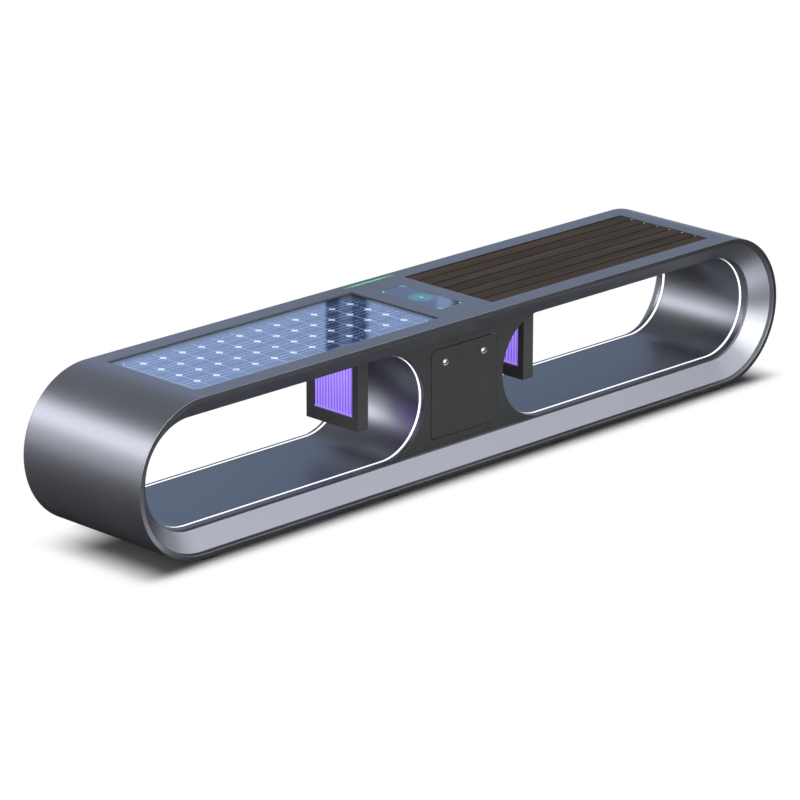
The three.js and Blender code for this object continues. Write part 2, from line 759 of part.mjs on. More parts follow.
function chargerCase() {
  const top = coverBottom - fit;
  const outer = roundedRectangle(chargerWidth - 2 * chargerCaseInset, chargerLength - 2 * chargerCaseInset,
    chargerCorner - chargerCaseInset);
  const inset = chargerCaseInset + chargerCaseWall;
  const inner = roundedRectangle(chargerWidth - 2 * inset, chargerLength - 2 * inset, chargerCorner - inset);
  const body = slab(outer, top - trayBottom).translate(0, 0, trayBottom);
  const hollow = slab(inner, top - trayBottom).translate(0, 0, trayBottom + chargerCaseWall);
  const height = coilBottom - fit - trayBottom;
  const pedestal = disc(coilOuter, height).rotateX(Math.PI / 2).translate(0, 0, trayBottom + height / 2);
  return join([cut(body, [hollow]), pedestal]);
}

function coil() {
  const ring = disc(coilOuter, coilThickness);
  return cut(ring, [disc(coilInner, coilThickness + overrun)]).rotateX(Math.PI / 2);
}

add(charger, 'charger_cover', slab(roundedRectangle(chargerWidth - 2 * fit, chargerLength - 2 * fit,
  chargerCorner), chargerCoverThickness), chargerGlass, 0, 0, coverBottom);
add(charger, 'charger_coil', coil(), copper, 0, 0, coilBottom + coilThickness / 2);
add(charger, 'charger_case', chargerCase(), blackPlastic);

// Status lens along the rear edge of the seat
add(bench, 'status_lens', slab(roundedRectangle(lensLength, lensWidth, lensWidth / 2), lensHeight),
  greenLight, 0, shellWidth / 2 - lensSetback, topHeight - lensRecess - lensHeight);

// Insect lamps: one hangs in each tunnel beside the pillar
const windowWidth = lampWidth - 2 * lampSideBorder;
const windowHeight = lampHeight - lampTopBorder - lampBottomBorder;
const windowZ = (lampBottomBorder - lampTopBorder) / 2;
const grilleWidth = windowWidth - 2 * fit;
const grilleHeight = windowHeight - 2 * fit;
const grilleThickness = lampThickness - 2 * lampRecess;
const barCount = Math.floor((grilleWidth - barWidth) / barPitch) + 1;

function lampFrame() {
  const body = block(lampThickness, lampWidth, lampHeight);
  return cut(body, [block(lampThickness + overrun, windowWidth, windowHeight, 0, 0, windowZ)]);
}

function lampGrille() {
  const pieces = [];
  for (const side of [-1, 1]) {
    pieces.push(block(grilleThickness, grilleWidth, lampPlate, 0, 0, side * (grilleHeight - lampPlate) / 2));
    for (let i = 0; i < barCount; i++) {
      const y = (i - (barCount - 1) / 2) * barPitch;
      const x = side * (grilleThickness - barDepth) / 2;
      pieces.push(block(barDepth, barWidth, grilleHeight - 2 * lampPlate + 2 * weld, x, y, 0));
    }
  }
  return join(pieces);
}

const frameForm = lampFrame();
const grilleForm = lampGrille();
const panelForm = block(lampPanelThickness, grilleWidth, grilleHeight - 2 * lampPlate - 2 * fit);
const lampX = bayInner + lampStandoff + lampThickness / 2;
for (const [side, x] of [['left', -lampX], ['right', lampX]]) {
  const lamp = groupAt(x, 0, axisHeight + bayRadius - fit - lampHeight / 2);
  add(lamp, `${side}_lamp_frame`, frameForm, lampPaint);
  add(lamp, `${side}_lamp_grille`, grilleForm, violetBars, 0, 0, windowZ);
  add(lamp, `${side}_lamp_panel`, panelForm, violetLight, 0, 0, windowZ);
}

// Service door with its hinge ears, turning on the two pins near its lower edge
const hinge = groupAt(0, -panelY + hingeDeep, axisHeight - doorHeight / 2 + hingeUp);
const doorMiddle = doorHeight / 2 - hingeUp;
const boreRadius = pinRadius + fit;

function serviceDoor() {
  const plate = upright(roundedRectangle(doorWidth, doorHeight, doorCorner), panelWall, panelEdge)
    .translate(0, -hingeDeep, doorMiddle);
  const pieces = [plate];
  const bores = [];
  const reach = hingeDeep - panelWall + weld;
  for (const side of [-1, 1]) {
    for (const end of [-1, 1]) {
      const x = side * hingeX + end * (barrelWidth / 2 + earGap + earWidth / 2);
      pieces.push(block(earWidth, reach, 2 * barrelRadius, x, -reach / 2, 0));
      pieces.push(across(barrelRadius, earWidth).translate(x, 0, 0));
      bores.push(across(boreRadius, earWidth + overrun).translate(x, 0, 0));
    }
    bores.push(disc(barrelLockRadius + fit, panelWall + 2 * overrun)
      .translate(side * lockX, -hingeDeep + panelWall / 2, doorMiddle + lockUp));
  }
  return cut(join(pieces), bores);
}

// Swan-neck bracket: a barrel on an arm that reaches back, down and forward to the panel
function hingeBracket() {
  const back = armReach;
  const front = -hingeDeep + panelWall + fit;
  const high = armWall / 2;
  const low = -bracketDrop;
  const arm = new THREE.Shape();
  arm.moveTo(barrelRadius / 2, -high);
  arm.lineTo(back - armWall, -high);
  arm.lineTo(back - armWall, low + armWall);
  arm.lineTo(front + armWall, low + armWall);
  arm.lineTo(front + armWall, low + bracketFoot);
  arm.lineTo(front, low + bracketFoot);
  arm.lineTo(front, low);
  arm.lineTo(back, low);
  arm.lineTo(back, high);
  arm.lineTo(barrelRadius / 2, high);
  const body = join([along(arm, barrelWidth), across(barrelRadius, barrelWidth)]);
  return cut(body, [across(boreRadius, barrelWidth + overrun)]);
}

function hingePin() {
  const grip = barrelWidth + 2 * (earGap + earWidth + fit);
  const head = across(pinHeadRadius, pinHead);
  const heads = [-1, 1].map((end) => head.clone().translate(end * (grip + pinHead) / 2, 0, 0));
  return join([across(pinRadius, grip + 2 * weld), ...heads]);
}

add(hinge, 'service_door', serviceDoor(), panelPaint);
const bracketForm = hingeBracket();
const pinForm = hingePin();
for (const [side, x] of [['left', -hingeX], ['right', hingeX]]) {
  add(hinge, `${side}_hinge_bracket`, bracketForm, zincPlate, x, 0, 0);
  add(hinge, `${side}_hinge_pin`, pinForm, zincPlate, x, 0, 0);
}

// Quarter-turn locks: a flanged housing in the door, and a domed core that carries the pawl
const pawlFront = panelWall + fit + sealThickness + frameWall + pawlGap;

function lockHousing() {
  const flange = disc(flangeRadius, flangeHeight).translate(0, -fit - flangeHeight / 2, 0);
  const length = panelWall + barrelBehind + fit + weld;
  const barrel = disc(barrelLockRadius, length).translate(0, length / 2 - fit - weld, 0);
  const nut = disc(nutRadius, nutHeight, nutSides).translate(0, panelWall + fit + nutHeight / 2, 0);
  const bore = disc(spindleRadius + fit, length + flangeHeight + 2 * overrun).translate(0, length / 2, 0);
  return cut(join([flange, barrel, nut]), [bore]);
}

// The released pawl points at the middle of the door
function lockCore(side) {
  const domeBase = -flangeHeight - 2 * fit;
  const back = pawlFront + pawlThickness;
  const profile = [new THREE.Vector2(0, domeBase - domeHeight)];
  for (let i = 1; i <= domeSteps; i++) {
    const angle = Math.PI / 2 * i / domeSteps;
    profile.push(new THREE.Vector2(domeRadius * Math.sin(angle), domeBase - domeHeight * Math.cos(angle)));
  }
  profile.push(new THREE.Vector2(spindleRadius, domeBase));
  profile.push(new THREE.Vector2(spindleRadius, back));
  profile.push(new THREE.Vector2(0, back));
  const core = new THREE.LatheGeometry(profile, roundSteps);
  const pawl = block(pawlLength, pawlThickness, pawlWidth,
    -side * pawlLength / 2, back - pawlThickness / 2, 0);
  return join([core, pawl]);
}

const housingForm = lockHousing();
for (const [side, name] of [[-1, 'left'], [1, 'right']]) {
  const lock = groupAt(side * lockX, -panelY, axisHeight + lockUp);
  add(lock, `${name}_lock_housing`, housingForm, zincPlate);
  add(lock, `${name}_lock_core`, lockCore(side), chromePlate);
}

// Equipment behind the door: plate with a shelf, battery, charge controller and light driver
const plateFront = -postDepth / 2 - fit - plateWall;
const bracketBack = -panelY + hingeDeep + armReach;
const batteryWidth = plateFront - fit - bracketBack - batteryFrontGap;
const shelfDepth = batteryWidth + shelfSpare;
const shelfTop = footHeight + shelfHeight + plateWall;
const plateTop = seatBottom - plateHeadroom;
const hungTop = seatBottom - leadRoom;
const hungBottom = hungTop - controllerHeight;
const batteryHeight = hungBottom - equipmentGap - shelfTop - fit;

function equipmentPlate() {
  const bottom = shelfTop - plateWall;
  const width = 2 * postX + postWidth;
  const plate = upTo(plateTop, bottom, width, plateWall, 0, plateFront + plateWall / 2);
  const shelf = upTo(shelfTop, bottom, shelfWidth, shelfDepth, 0, plateFront + weld - shelfDepth / 2);
  const gusset = new THREE.Shape();
  gusset.moveTo(plateFront + weld, shelfTop - weld);
  gusset.lineTo(plateFront + weld, shelfTop + shelfDepth / 2);
  gusset.lineTo(plateFront - shelfDepth / 2, shelfTop - weld);
  const ends = [-1, 1].map((side) => along(gusset, plateWall)
    .translate(side * (shelfWidth - plateWall) / 2, 0, 0));
  return join([plate, shelf, ...ends]);
}

function batteryPack() {
  const body = slab(roundedRectangle(batteryLength, batteryWidth, batteryEdge), batteryHeight);
  const terminals = [-1, 1].map((side) => disc(terminalRadius, terminalHeight + weld, pinSides)
    .rotateX(Math.PI / 2)
    .translate(side * (batteryLength / 2 - terminalInset), 0, batteryHeight + (terminalHeight - weld) / 2));
  return join([body, ...terminals]);
}

function chargeController() {
  const depth = controllerWidth - finDepth;
  const pieces = [upTo(controllerHeight, 0, hungLength, depth, 0, -depth / 2)];
  for (let i = 0; i < finCount; i++) {
    const x = (hungLength - finWidth) * (i / (finCount - 1) - 1 / 2);
    pieces.push(upTo(controllerHeight, 0, finWidth, finDepth + weld, x, -depth - (finDepth - weld) / 2));
  }
  return join(pieces);
}

function lightDriver() {
  const body = upTo(driverHeight, 0, hungLength, driverWidth, 0, -driverWidth / 2);
  const ears = upTo(driverHeight + driverEar, -driverEar, hungLength / 2, driverEarWall,
    0, -driverEarWall / 2);
  return join([body, ears]);
}

add(bench, 'equipment_plate', equipmentPlate(), galvanised);
add(bench, 'battery_pack', batteryPack(), greyPlastic,
  0, plateFront - fit - batteryWidth / 2, shelfTop + fit);
add(bench, 'charge_controller', chargeController(), blackPlastic, -hungX, plateFront - fit, hungBottom);
add(bench, 'light_driver', lightDriver(), aluminium, hungX, plateFront - fit, hungTop - driverHeight);

// Leads from the solar panel and the charger down to the charge controller
function lead(points) {
  const section = new THREE.Shape();
  section.absarc(0, 0, leadRadius, 0, Math.PI * 2);
  const path = new THREE.CatmullRomCurve3(points.map(([x, y, z]) => new THREE.Vector3(x, y, z)));
  return new THREE.ExtrudeGeometry(section, {
    steps: leadSteps, bevelEnabled: false, extrudePath: path, curveSegments: leadSides / 2,
  });
}

const controllerTop = hungTop + fit;
const controllerY = plateFront - fit - controllerWidth / 2;
const solarExit = [boxX - pocketCentre, boxY, bandUnderside - fit + boxTop - boxHeight - fit];
const chargerExit = [chargerExitX, boxY, trayBottom - fit];
const solarPort = -hungX - portOffset;
const chargerPort = -hungX + portOffset;
add(bench, 'solar_lead', lead([
  solarExit,
  [solarExit[0], boxY, leadLevel + leadBend / 2],
  [solarExit[0] + leadBend / 2, boxY, leadLevel],
  [-postX - leadBend / 2, boxY, leadLevel],
  [-postX, boxY, leadLevel],
  [-postX + leadBend / 2, boxY, leadLevel],
  [solarPort - leadBend / 2, controllerY, leadLevel - leadBend / 2],
  [solarPort, controllerY, leadLevel - leadBend],
  [solarPort, controllerY, controllerTop],
]), blackRubber);
add(bench, 'charger_lead', lead([
  chargerExit,
  [chargerExitX, boxY, trayBottom - leadBend / 2],
  [chargerPort, controllerY, controllerTop + leadBend / 2],
  [chargerPort, controllerY, controllerTop],
]), blackRubber);

export default bench;
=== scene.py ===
import math

import bmesh
import bpy
from bmesh.types import BMEdge, BMFace, BMVert
from mathutils import Matrix, Vector


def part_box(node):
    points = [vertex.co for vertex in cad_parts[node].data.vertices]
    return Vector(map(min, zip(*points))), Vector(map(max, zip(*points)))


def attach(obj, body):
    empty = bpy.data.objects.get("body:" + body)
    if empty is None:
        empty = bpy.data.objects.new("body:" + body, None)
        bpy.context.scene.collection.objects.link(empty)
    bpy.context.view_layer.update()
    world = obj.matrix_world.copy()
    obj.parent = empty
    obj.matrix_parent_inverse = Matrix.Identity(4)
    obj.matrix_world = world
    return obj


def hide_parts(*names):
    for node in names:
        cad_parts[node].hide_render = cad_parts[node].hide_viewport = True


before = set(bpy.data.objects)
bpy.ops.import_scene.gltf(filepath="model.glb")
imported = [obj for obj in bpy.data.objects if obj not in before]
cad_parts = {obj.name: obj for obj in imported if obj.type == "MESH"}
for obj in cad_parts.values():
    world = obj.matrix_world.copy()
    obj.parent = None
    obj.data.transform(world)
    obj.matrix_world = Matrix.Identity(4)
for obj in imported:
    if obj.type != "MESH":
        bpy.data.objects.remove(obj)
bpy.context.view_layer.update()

# Base frame and seat frame
# Welded steel box sections under and over the tunnels, hot-dip galvanised after welding. The zinc
# sets in dull grey spangles, and the frames show only through the open service door.

mm = 0.001


class Signal:
    """One value in a material. Sums, products and comparisons of signals add Math nodes."""

    def __init__(self, finish, socket):
        self.finish = finish
        self.socket = socket

    def maths(self, operation, *values):
        return self.finish.node("ShaderNodeMath", {"operation": operation}, dict(enumerate(values)))

    def __add__(self, other):
        return self.maths("ADD", self, other)

    __radd__ = __add__

    def __sub__(self, other):
        return self.maths("SUBTRACT", self, other)

    def __rsub__(self, other):
        return self.maths("SUBTRACT", other, self)

    def __mul__(self, other):
        return self.maths("MULTIPLY", self, other)

    __rmul__ = __mul__

    def __neg__(self):
        return self * -1

    def __gt__(self, other):
        return self.maths("GREATER_THAN", self, other)

    def __lt__(self, other):
        return self.maths("LESS_THAN", self, other)

    def __abs__(self):
        return self.maths("ABSOLUTE", self)

    def __pow__(self, other):
        return self.maths("POWER", self, other)

    def most(self, other):
        return self.maths("MAXIMUM", self, other)

    def least(self, other):
        return self.maths("MINIMUM", self, other)

    def diagonal(self, other):
        """Distance from a point that lies this far away along X and the other along Y"""
        return (self * self + other * other) ** 0.5

    def off_line(self, pitch):
        """Distance to the nearest of the lines that lie a pitch apart, one of them at zero"""
        return self.maths("PINGPONG", self, pitch / 2)

    def fade(self, start, end):
        """0 before start, 1 after end and smooth between them"""
        settings = {"interpolation_type": "SMOOTHSTEP"}
        return self.finish.node("ShaderNodeMapRange", settings, {0: self, 1: start, 2: end})


class Finish:
    """A procedural material that lies on the piece's own coordinates, in metres"""

    def __init__(self, name, **inputs):
        self.material = bpy.data.materials.new(name)
        self.material.use_nodes = True
        self.tree = self.material.node_tree
        self.shader = self.tree.nodes["Principled BSDF"]
        self.place = self.node("ShaderNodeTexCoord", output="Object")
        for key, value in inputs.items():
            self.set(key.replace("_", " ").title(), value)

    def feed(self, socket, value):
        if isinstance(value, Signal):
            self.tree.links.new(value.socket, socket)
        elif socket.type == "RGBA":
            socket.default_value = (*value, 1)
        else:
            socket.default_value = value

    def set(self, name, value):
        self.feed(self.shader.inputs[name.replace("Ior", "IOR")], value)

    def node(self, kind, settings=None, values=None, output=0):
        """Adds a node of any kind, with its settings first and then its values or links"""
        made = self.tree.nodes.new(kind)
        for key, value in (settings or {}).items():
            setattr(made, key, value)
        for key, value in (values or {}).items():
            self.feed(made.inputs[key], value)
        if isinstance(output, tuple):
            return [Signal(self, made.outputs[key]) for key in output]
        return Signal(self, made.outputs[output])

    def axes(self, place=None):
        """The X, Y and Z of a place, by default of the place on the piece"""
        return self.node("ShaderNodeSeparateXYZ", None, {"Vector": place or self.place}, (0, 1, 2))

    def mix(self, factor, first, second):
        return self.node("ShaderNodeMix", {"data_type": "RGBA"}, {0: factor, 6: first, 7: second}, 2)

    def blend(self, share, stops):
        """Blends from stop to stop. Each stop has its share of the way and its colour."""
        start, colour = stops[0]
        for end, above in stops[1:]:
            colour = self.mix((share - start) * (1 / (end - start)), colour, above)
            start = end
        return colour

    def noise(self, scale, detail=2.0, stretch=(1, 1, 1), shift=(0, 0, 0)):
        where = self.node("ShaderNodeMapping", None,
                          {"Vector": self.place, "Scale": stretch, "Location": shift})
        return self.node("ShaderNodeTexNoise", None, {"Vector": where, "Scale": scale, "Detail": detail})

    def grains(self, scale):
        """One random value for each grain of the surface"""
        colour = self.node("ShaderNodeTexVoronoi", None, {"Vector": self.place, "Scale": scale}, 1)
        return self.node("ShaderNodeSeparateColor", None, {"Color": colour})

    def vary(self, pattern, low, high, roughness, spread):
        """Lets the colour and the roughness follow a pattern that runs from 0 to 1"""
        self.set("Base Color", self.mix(pattern, low, high))
        self.set("Roughness", roughness + spread * pattern)

    def relief(self, height, strength, distance):
        values = {"Height": height, "Strength": strength, "Distance": distance}
        self.set("Normal", self.node("ShaderNodeBump", None, values))

    def glow(self, colour, strength):
        self.set("Emission Color", colour)
        self.set("Emission Strength", strength)


def coat(finish, *nodes):
    """Gives CAD nodes their finish"""
    for node in nodes:
        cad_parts[node].material_slots[0].material = finish.material


galvanised = Finish("galvanised_steel", metallic=0.9)
spangle = galvanised.grains(160)
galvanised.set("Base Color", galvanised.mix(spangle, (0.36, 0.38, 0.40), (0.58, 0.60, 0.62)))
galvanised.set("Roughness", 0.38 + 0.22 * spangle + 0.08 * galvanised.noise(30))
galvanised.relief(galvanised.noise(700), strength=0.15, distance=0.1 * mm)
coat(galvanised, "inner_frame", "seat_frame", "door_frame", "equipment_plate")

# Feet
# Eight moulded rubber pads under the shell, with round corners and eased edges, each on a steel
# stud that screws up into the base frame. The door's seal and the leads are of like rubber.

rubber = Finish("foot_rubber", base_color=(0.012, 0.012, 0.013), specular_ior_level=0.35)
rubber.set("Roughness", 0.72 + 0.16 * rubber.noise(90, detail=4))
rubber.relief(rubber.noise(1500, detail=3), strength=0.25, distance=0.15 * mm)
coat(rubber, "door_seal", "solar_lead", "charger_lead")

foot_count = 8
foot_corner = 8 * mm
foot_ease = 1.5 * mm
foot_height = 9.7 * mm
stud_radius = 4 * mm
stud_steps = 24
sharp_angle = math.radians(28)


def at(x, y, z):
    return Matrix.Translation((x, y, z))


def only(kind, geometry):
    return [g for g in geometry if isinstance(g, kind)]


def bevel(bm, geometry, offset, steps, affect="EDGES"):
    return bmesh.ops.bevel(bm, geom=geometry, offset=offset, segments=steps, affect=affect, profile=0.5,
                           material=-1)


def rounded_plate(bm, length, width, corner, place, steps=8):
    """A flat plate with rounded corners. It lies in the XY plane until place turns it."""
    placed = place @ Matrix.Diagonal((length, width, 1, 1))
    grid = bmesh.ops.create_grid(bm, x_segments=1, y_segments=1, size=0.5, matrix=placed)
    return bevel(bm, grid["verts"], corner, steps, "VERTICES")["verts"][0].link_faces[0]


def thicken(bm, faces, step):
    """Draws flat faces out by a step and keeps them as the other side"""
    drawn = bmesh.ops.extrude_face_region(bm, geom=faces, use_keep_orig=True)["geom"]
    bmesh.ops.translate(bm, verts=only(BMVert, drawn), vec=step)


def slab(bm, length, width, corner, place, step, steps=8):
    """A rounded plate that is drawn out by a step"""
    thicken(bm, [rounded_plate(bm, length, width, corner, place, steps)], step)


def finish_piece(name, bm, finish, round_edges=0.0, segments=2):
    """Closes a mesh as a piece with smooth faces, and with sharp or slightly rounded edges"""
    bmesh.ops.recalc_face_normals(bm, faces=bm.faces)
    mesh = bpy.data.meshes.new(name)
    bm.to_mesh(mesh)
    bm.free()
    mesh.shade_smooth()
    mesh.materials.append(finish.material)
    made = bpy.data.objects.new(name, mesh)
    bpy.context.scene.collection.objects.link(made)
    if round_edges:
        edge = made.modifiers.new("rounded edges", "BEVEL")
        edge.width = round_edges
        edge.segments = segments
        edge.limit_method = "ANGLE"
        edge.angle_limit = sharp_angle
        edge.harden_normals = True
    else:
        mesh.set_sharp_from_angle(angle=sharp_angle)
    made.modifiers.new("flat faces stay flat", "WEIGHTED_NORMAL").keep_sharp = True
    return made


def fit(piece, body, slot, *nodes):
    """Lets a piece ride on its body, in place of the CAD nodes it names, which are hidden. The slot is not
    used.
    """
    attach(piece, body)
    if nodes:
        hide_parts(*nodes)


for number in range(1, foot_count + 1):
    low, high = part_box(f"foot_{number}")
    middle = (low + high) / 2
    bm = bmesh.new()
    slab(bm, high.x - low.x, high.y - low.y, foot_corner, at(middle.x, middle.y, low.z), (0, 0, foot_height))
    stud_length = high.z - low.z - foot_height
    bmesh.ops.create_cone(bm, cap_ends=True, segments=stud_steps, radius1=stud_radius, radius2=stud_radius,
                          depth=stud_length, matrix=at(middle.x, middle.y, high.z - stud_length / 2))
    fit(finish_piece(f"foot_pad_{number}", bm, rubber, foot_ease), "bench", "rubber", f"foot_{number}")

# Outer band
# One long steel sheet, rolled round both ends and welded under the seat, with laser-cut openings
# for the solar panel, the charger, the wood and the status light. Powder-coated metallic graphite.

shell_paint = Finish("shell_paint", metallic=0.9)
flakes = shell_paint.grains(2600)
clouds = shell_paint.noise(2.5, detail=3)
shell_paint.set("Base Color", shell_paint.mix(0.35 * flakes + 0.3 * clouds, (0.155, 0.162, 0.185),
                                              (0.235, 0.243, 0.268)))
shell_paint.set("Roughness", 0.30 + 0.05 * clouds + 0.05 * flakes)
shell_paint.relief(shell_paint.noise(420) + 0.25 * flakes, strength=0.06, distance=0.05 * mm)

band_low, band_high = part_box("outer_band")
band_wall = 3 * mm
end_radius = (band_high.z - band_low.z) / 2
end_steps = 72
straight_half = band_high.x - end_radius
axis_height = (band_high.z + band_low.z) / 2
on_axis = at(0, 0, axis_height)
merge_gap = 0.01 * mm

pocket_lap = 7 * mm
pocket_corner = 1 * mm
charger_corner = 14 * mm
seat_gap = 0.3 * mm


def sweep(bm, line, half, closed=True):
    """Sweeps a line that stands at x = half, over the axis, round a stadium"""
    for side in (1, -1):
        turned = bmesh.ops.spin(bm, geom=line, cent=(side * half, 0, 0), axis=(0, 1, 0),
                                angle=math.pi, steps=end_steps)
        line = turned["geom_last"]
        if side == 1 or closed:
            run = bmesh.ops.extrude_edge_only(bm, edges=only(BMEdge, line))["geom"]
            ends = only(BMVert, run)
            bmesh.ops.translate(bm, verts=ends, vec=(-side * 2 * half, 0, 0))
            line = ends + [e for e in only(BMEdge, run) if set(e.verts) <= set(ends)]
    bmesh.ops.remove_doubles(bm, verts=bm.verts, dist=merge_gap)
    return line


def seat_opening(bm, low, high, inset, corner):
    place = at((low.x + high.x) / 2, (low.y + high.y) / 2, end_radius)
    rounded_plate(bm, high.x - low.x - 2 * inset, high.y - low.y - 2 * inset, corner, place)


bm = bmesh.new()
glass_low, glass_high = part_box("solar_glass")
lens_low, lens_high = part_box("status_lens")
seat_opening(bm, glass_low, glass_high, pocket_lap, pocket_corner)
seat_opening(bm, Vector((-glass_high.x, glass_low.y, 0)), Vector((-glass_low.x, glass_high.y, 0)),
             pocket_lap, pocket_corner)
seat_opening(bm, *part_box("charger_cover"), -seat_gap, charger_corner)
seat_opening(bm, lens_low, lens_high, -seat_gap, (lens_high.y - lens_low.y) / 2)
bmesh.ops.delete(bm, geom=bm.faces[:], context="FACES_ONLY")
openings = bm.edges[:]
ends = [bm.verts.new((straight_half, y, end_radius)) for y in (band_low.y, band_high.y)]
rolled = sweep(bm, ends + [bm.edges.new(ends)], straight_half, closed=False)
far = sorted(only(BMVert, rolled), key=lambda v: v.co.y)
sides = [bm.edges.new(pair) for pair in zip(ends, far)]
across = [bm.edges.get(ends), bm.edges.get(far)]
bmesh.ops.triangle_fill(bm, use_beauty=True, edges=openings + sides + across)
bmesh.ops.recalc_face_normals(bm, faces=bm.faces)
bmesh.ops.solidify(bm, geom=bm.faces[:], thickness=band_wall)
bm.transform(on_axis)
fit(finish_piece("seat_band", bm, shell_paint), "bench", "shell_paint", "outer_band")

# Fascias
# A pressed steel ring closes the shell on each long side: a rounded rim, a broad splayed chamfer
# and a lip that turns in to the tunnels. Both are welded to the band, filled and painted with it.

rim_round = 5.2 * mm
rim_flat = 8 * mm
rim_edge = 1 * mm
fold = 0.9 * mm
fold_steps = 6
rim_bevel_in = 3.9 * mm
rim_bevel_deep = 12.1 * mm
splay_in = 48.1 * mm
splay_deep = 40.0 * mm
lip_in = 3.3 * mm
lip_deep = 7.5 * mm
fascia_wall = 3 * mm
spigot_gap = 0.3 * mm
spigot_deep = 10.4 * mm
fascia_low, fascia_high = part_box("front_fascia")
shell_half = -fascia_low.y
fascia_deep = fascia_high.y - fascia_low.y
splay_start = rim_round + rim_flat + rim_bevel_in
splay_end = splay_start + splay_in
lip_end = splay_end + lip_in


def outline(bm, corners):
    """A closed outline through corners that each have a place and the radius of their arc"""
    verts = [bm.verts.new(place) for place, radius in corners]
    bm.faces.new(verts)
    for vert, (place, radius) in zip(verts, corners):
        if radius:
            bevel(bm, [vert], radius, fold_steps, "VERTICES")
    bmesh.ops.delete(bm, geom=bm.faces[:], context="FACES_ONLY")
    return bm.verts[:] + bm.edges[:]


def fascia_ring(name, side):
    back = fascia_wall * math.hypot(1, splay_deep / splay_in)
    spigot_out = band_wall + spigot_gap
    section = (
        (0, rim_round, 0),
        (0, 0, rim_edge),
        (rim_round + rim_flat, 0, fold),
        (splay_start, rim_bevel_deep, fold),
        (splay_end, rim_bevel_deep + splay_deep, fold),
        (lip_end, rim_bevel_deep + splay_deep + lip_deep, fold),
        (lip_end, fascia_deep, 0),
        (lip_end - fascia_wall, fascia_deep, 0),
        (lip_end - fascia_wall, rim_bevel_deep + splay_deep + back - fascia_wall, 0),
        (spigot_out + fascia_wall, rim_bevel_deep / 2, 0),
        (spigot_out + fascia_wall, spigot_deep, 0),
        (spigot_out, spigot_deep, 0),
        (spigot_out, rim_round, 0),
    )
    bm = bmesh.new()
    line = outline(bm, [((straight_half, side * (shell_half - deep), end_radius - inward), radius)
                        for inward, deep, radius in section])
    sweep(bm, line, straight_half)
    bm.transform(on_axis)
    return finish_piece(name, bm, shell_paint)


for row, side in (("front", -1), ("rear", 1)):
    fit(fascia_ring(f"{row}_ring", side), "bench", "shell_paint", f"{row}_fascia")

# Tunnel liners
# The two round-ended tunnels under the seat are lined with rolled sheet in the shell's paint. A
# liner slides in from one side and stops against the lips of both fascias.

liner_wall = 3 * mm


def bay(side):
    """Middle, half of the straight run and inner radius of a tunnel"""
    low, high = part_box(f"{side}_bay_liner")
    radius = (high.z - low.z) / 2 - liner_wall
    return (low.x + high.x) / 2, (high.x - low.x) / 2 - liner_wall - radius, radius


def tunnel_ring(name, side, finish, near, far, outer, inner, rounding=0.0):
    """A ring that follows a tunnel, from y = near to y = far"""
    middle, half, radius = bay(side)
    bm = bmesh.new()
    section = ((near, inner), (far, inner), (far, outer), (near, outer))
    line = outline(bm, [((half, y, r), rounding) for y, r in section])
    sweep(bm, line, half)
    bm.transform(at(middle, 0, axis_height))
    return finish_piece(name, bm, finish)


for side in ("left", "right"):
    low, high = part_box(f"{side}_bay_liner")
    radius = bay(side)[2]
    liner = tunnel_ring(f"{side}_tunnel_liner", side, shell_paint, low.y, high.y, radius + liner_wall,
                        radius)
    fit(liner, "bench", "shell_paint", f"{side}_bay_liner")

# Light strips
# A ring of white light runs round both mouths of each tunnel: a row of lamps behind an opal
# plastic profile with a dark flange, pressed into the liner a little behind the fascia's lip.

strip_low, strip_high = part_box("front_left_light_strip")
strip_core = 3.1 * mm
strip_edge = 4.3 * mm
strip_round = 1.1 * mm
strip_rise = 3.3 * mm
opal = Finish("opal_light", roughness=0.35)
y = opal.axes()[1]
flange = abs(abs(y) + (strip_low.y + strip_high.y) / 2).fade(strip_core, strip_edge)
opal.set("Base Color", opal.mix(flange, (0.85, 0.85, 0.87), (0.10, 0.10, 0.11)))
lit = opal.mix(opal.noise(60), (0.96, 0.97, 1), (1, 1, 1))
opal.glow(opal.mix(flange, lit, (0.03, 0.03, 0.035)), 1.15)

for side in ("left", "right"):
    for row in ("front", "rear"):
        low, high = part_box(f"{row}_{side}_light_strip")
        strip = tunnel_ring(f"{row}_{side}_light_ring", side, opal, low.y, high.y, (high.z - low.z) / 2,
                            bay(side)[2] - strip_rise, strip_round)
        strip.visible_glossy = False
        fit(strip, "bench", "white_light", f"{row}_{side}_light_strip")

# Pillar panels
# Plates of painted steel close the pillar between the tunnels at the front and the rear. Their
# sides are hollowed to the round ends of the tunnels, with a rolled edge, and the front one is
# cut out for the service door.

panel_paint = Finish("panel_paint", metallic=0.0, specular_ior_level=0.34)
speckle = panel_paint.noise(1400, detail=3)
panel_paint.set("Base Color", panel_paint.mix(0.6 * speckle + 0.4 * panel_paint.noise(6, detail=3),
                                              (0.026, 0.027, 0.029), (0.036, 0.037, 0.039)))
panel_paint.set("Roughness", 0.46 + 0.14 * speckle)
panel_paint.relief(speckle, strength=0.12, distance=0.08 * mm)

panel_front, panel_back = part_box("front_pillar_panel")[0].y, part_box("rear_pillar_panel")[1].y
panel_wall = 2.5 * mm
panel_gap = 0.3 * mm
panel_tip = 2 * mm
rolled_edge = 1.8 * mm
rolled_steps = 5
rolled_share = 0.93
hollow_steps = 64
door_low, door_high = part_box("service_door")
door_width = door_high.x - door_low.x
door_height = 2 * (axis_height - door_low.z)
door_gap = 2 * mm
door_corner = 18 * mm
door_corner_steps = 12
on_face = Matrix.Rotation(math.pi / 2, 4, "X")


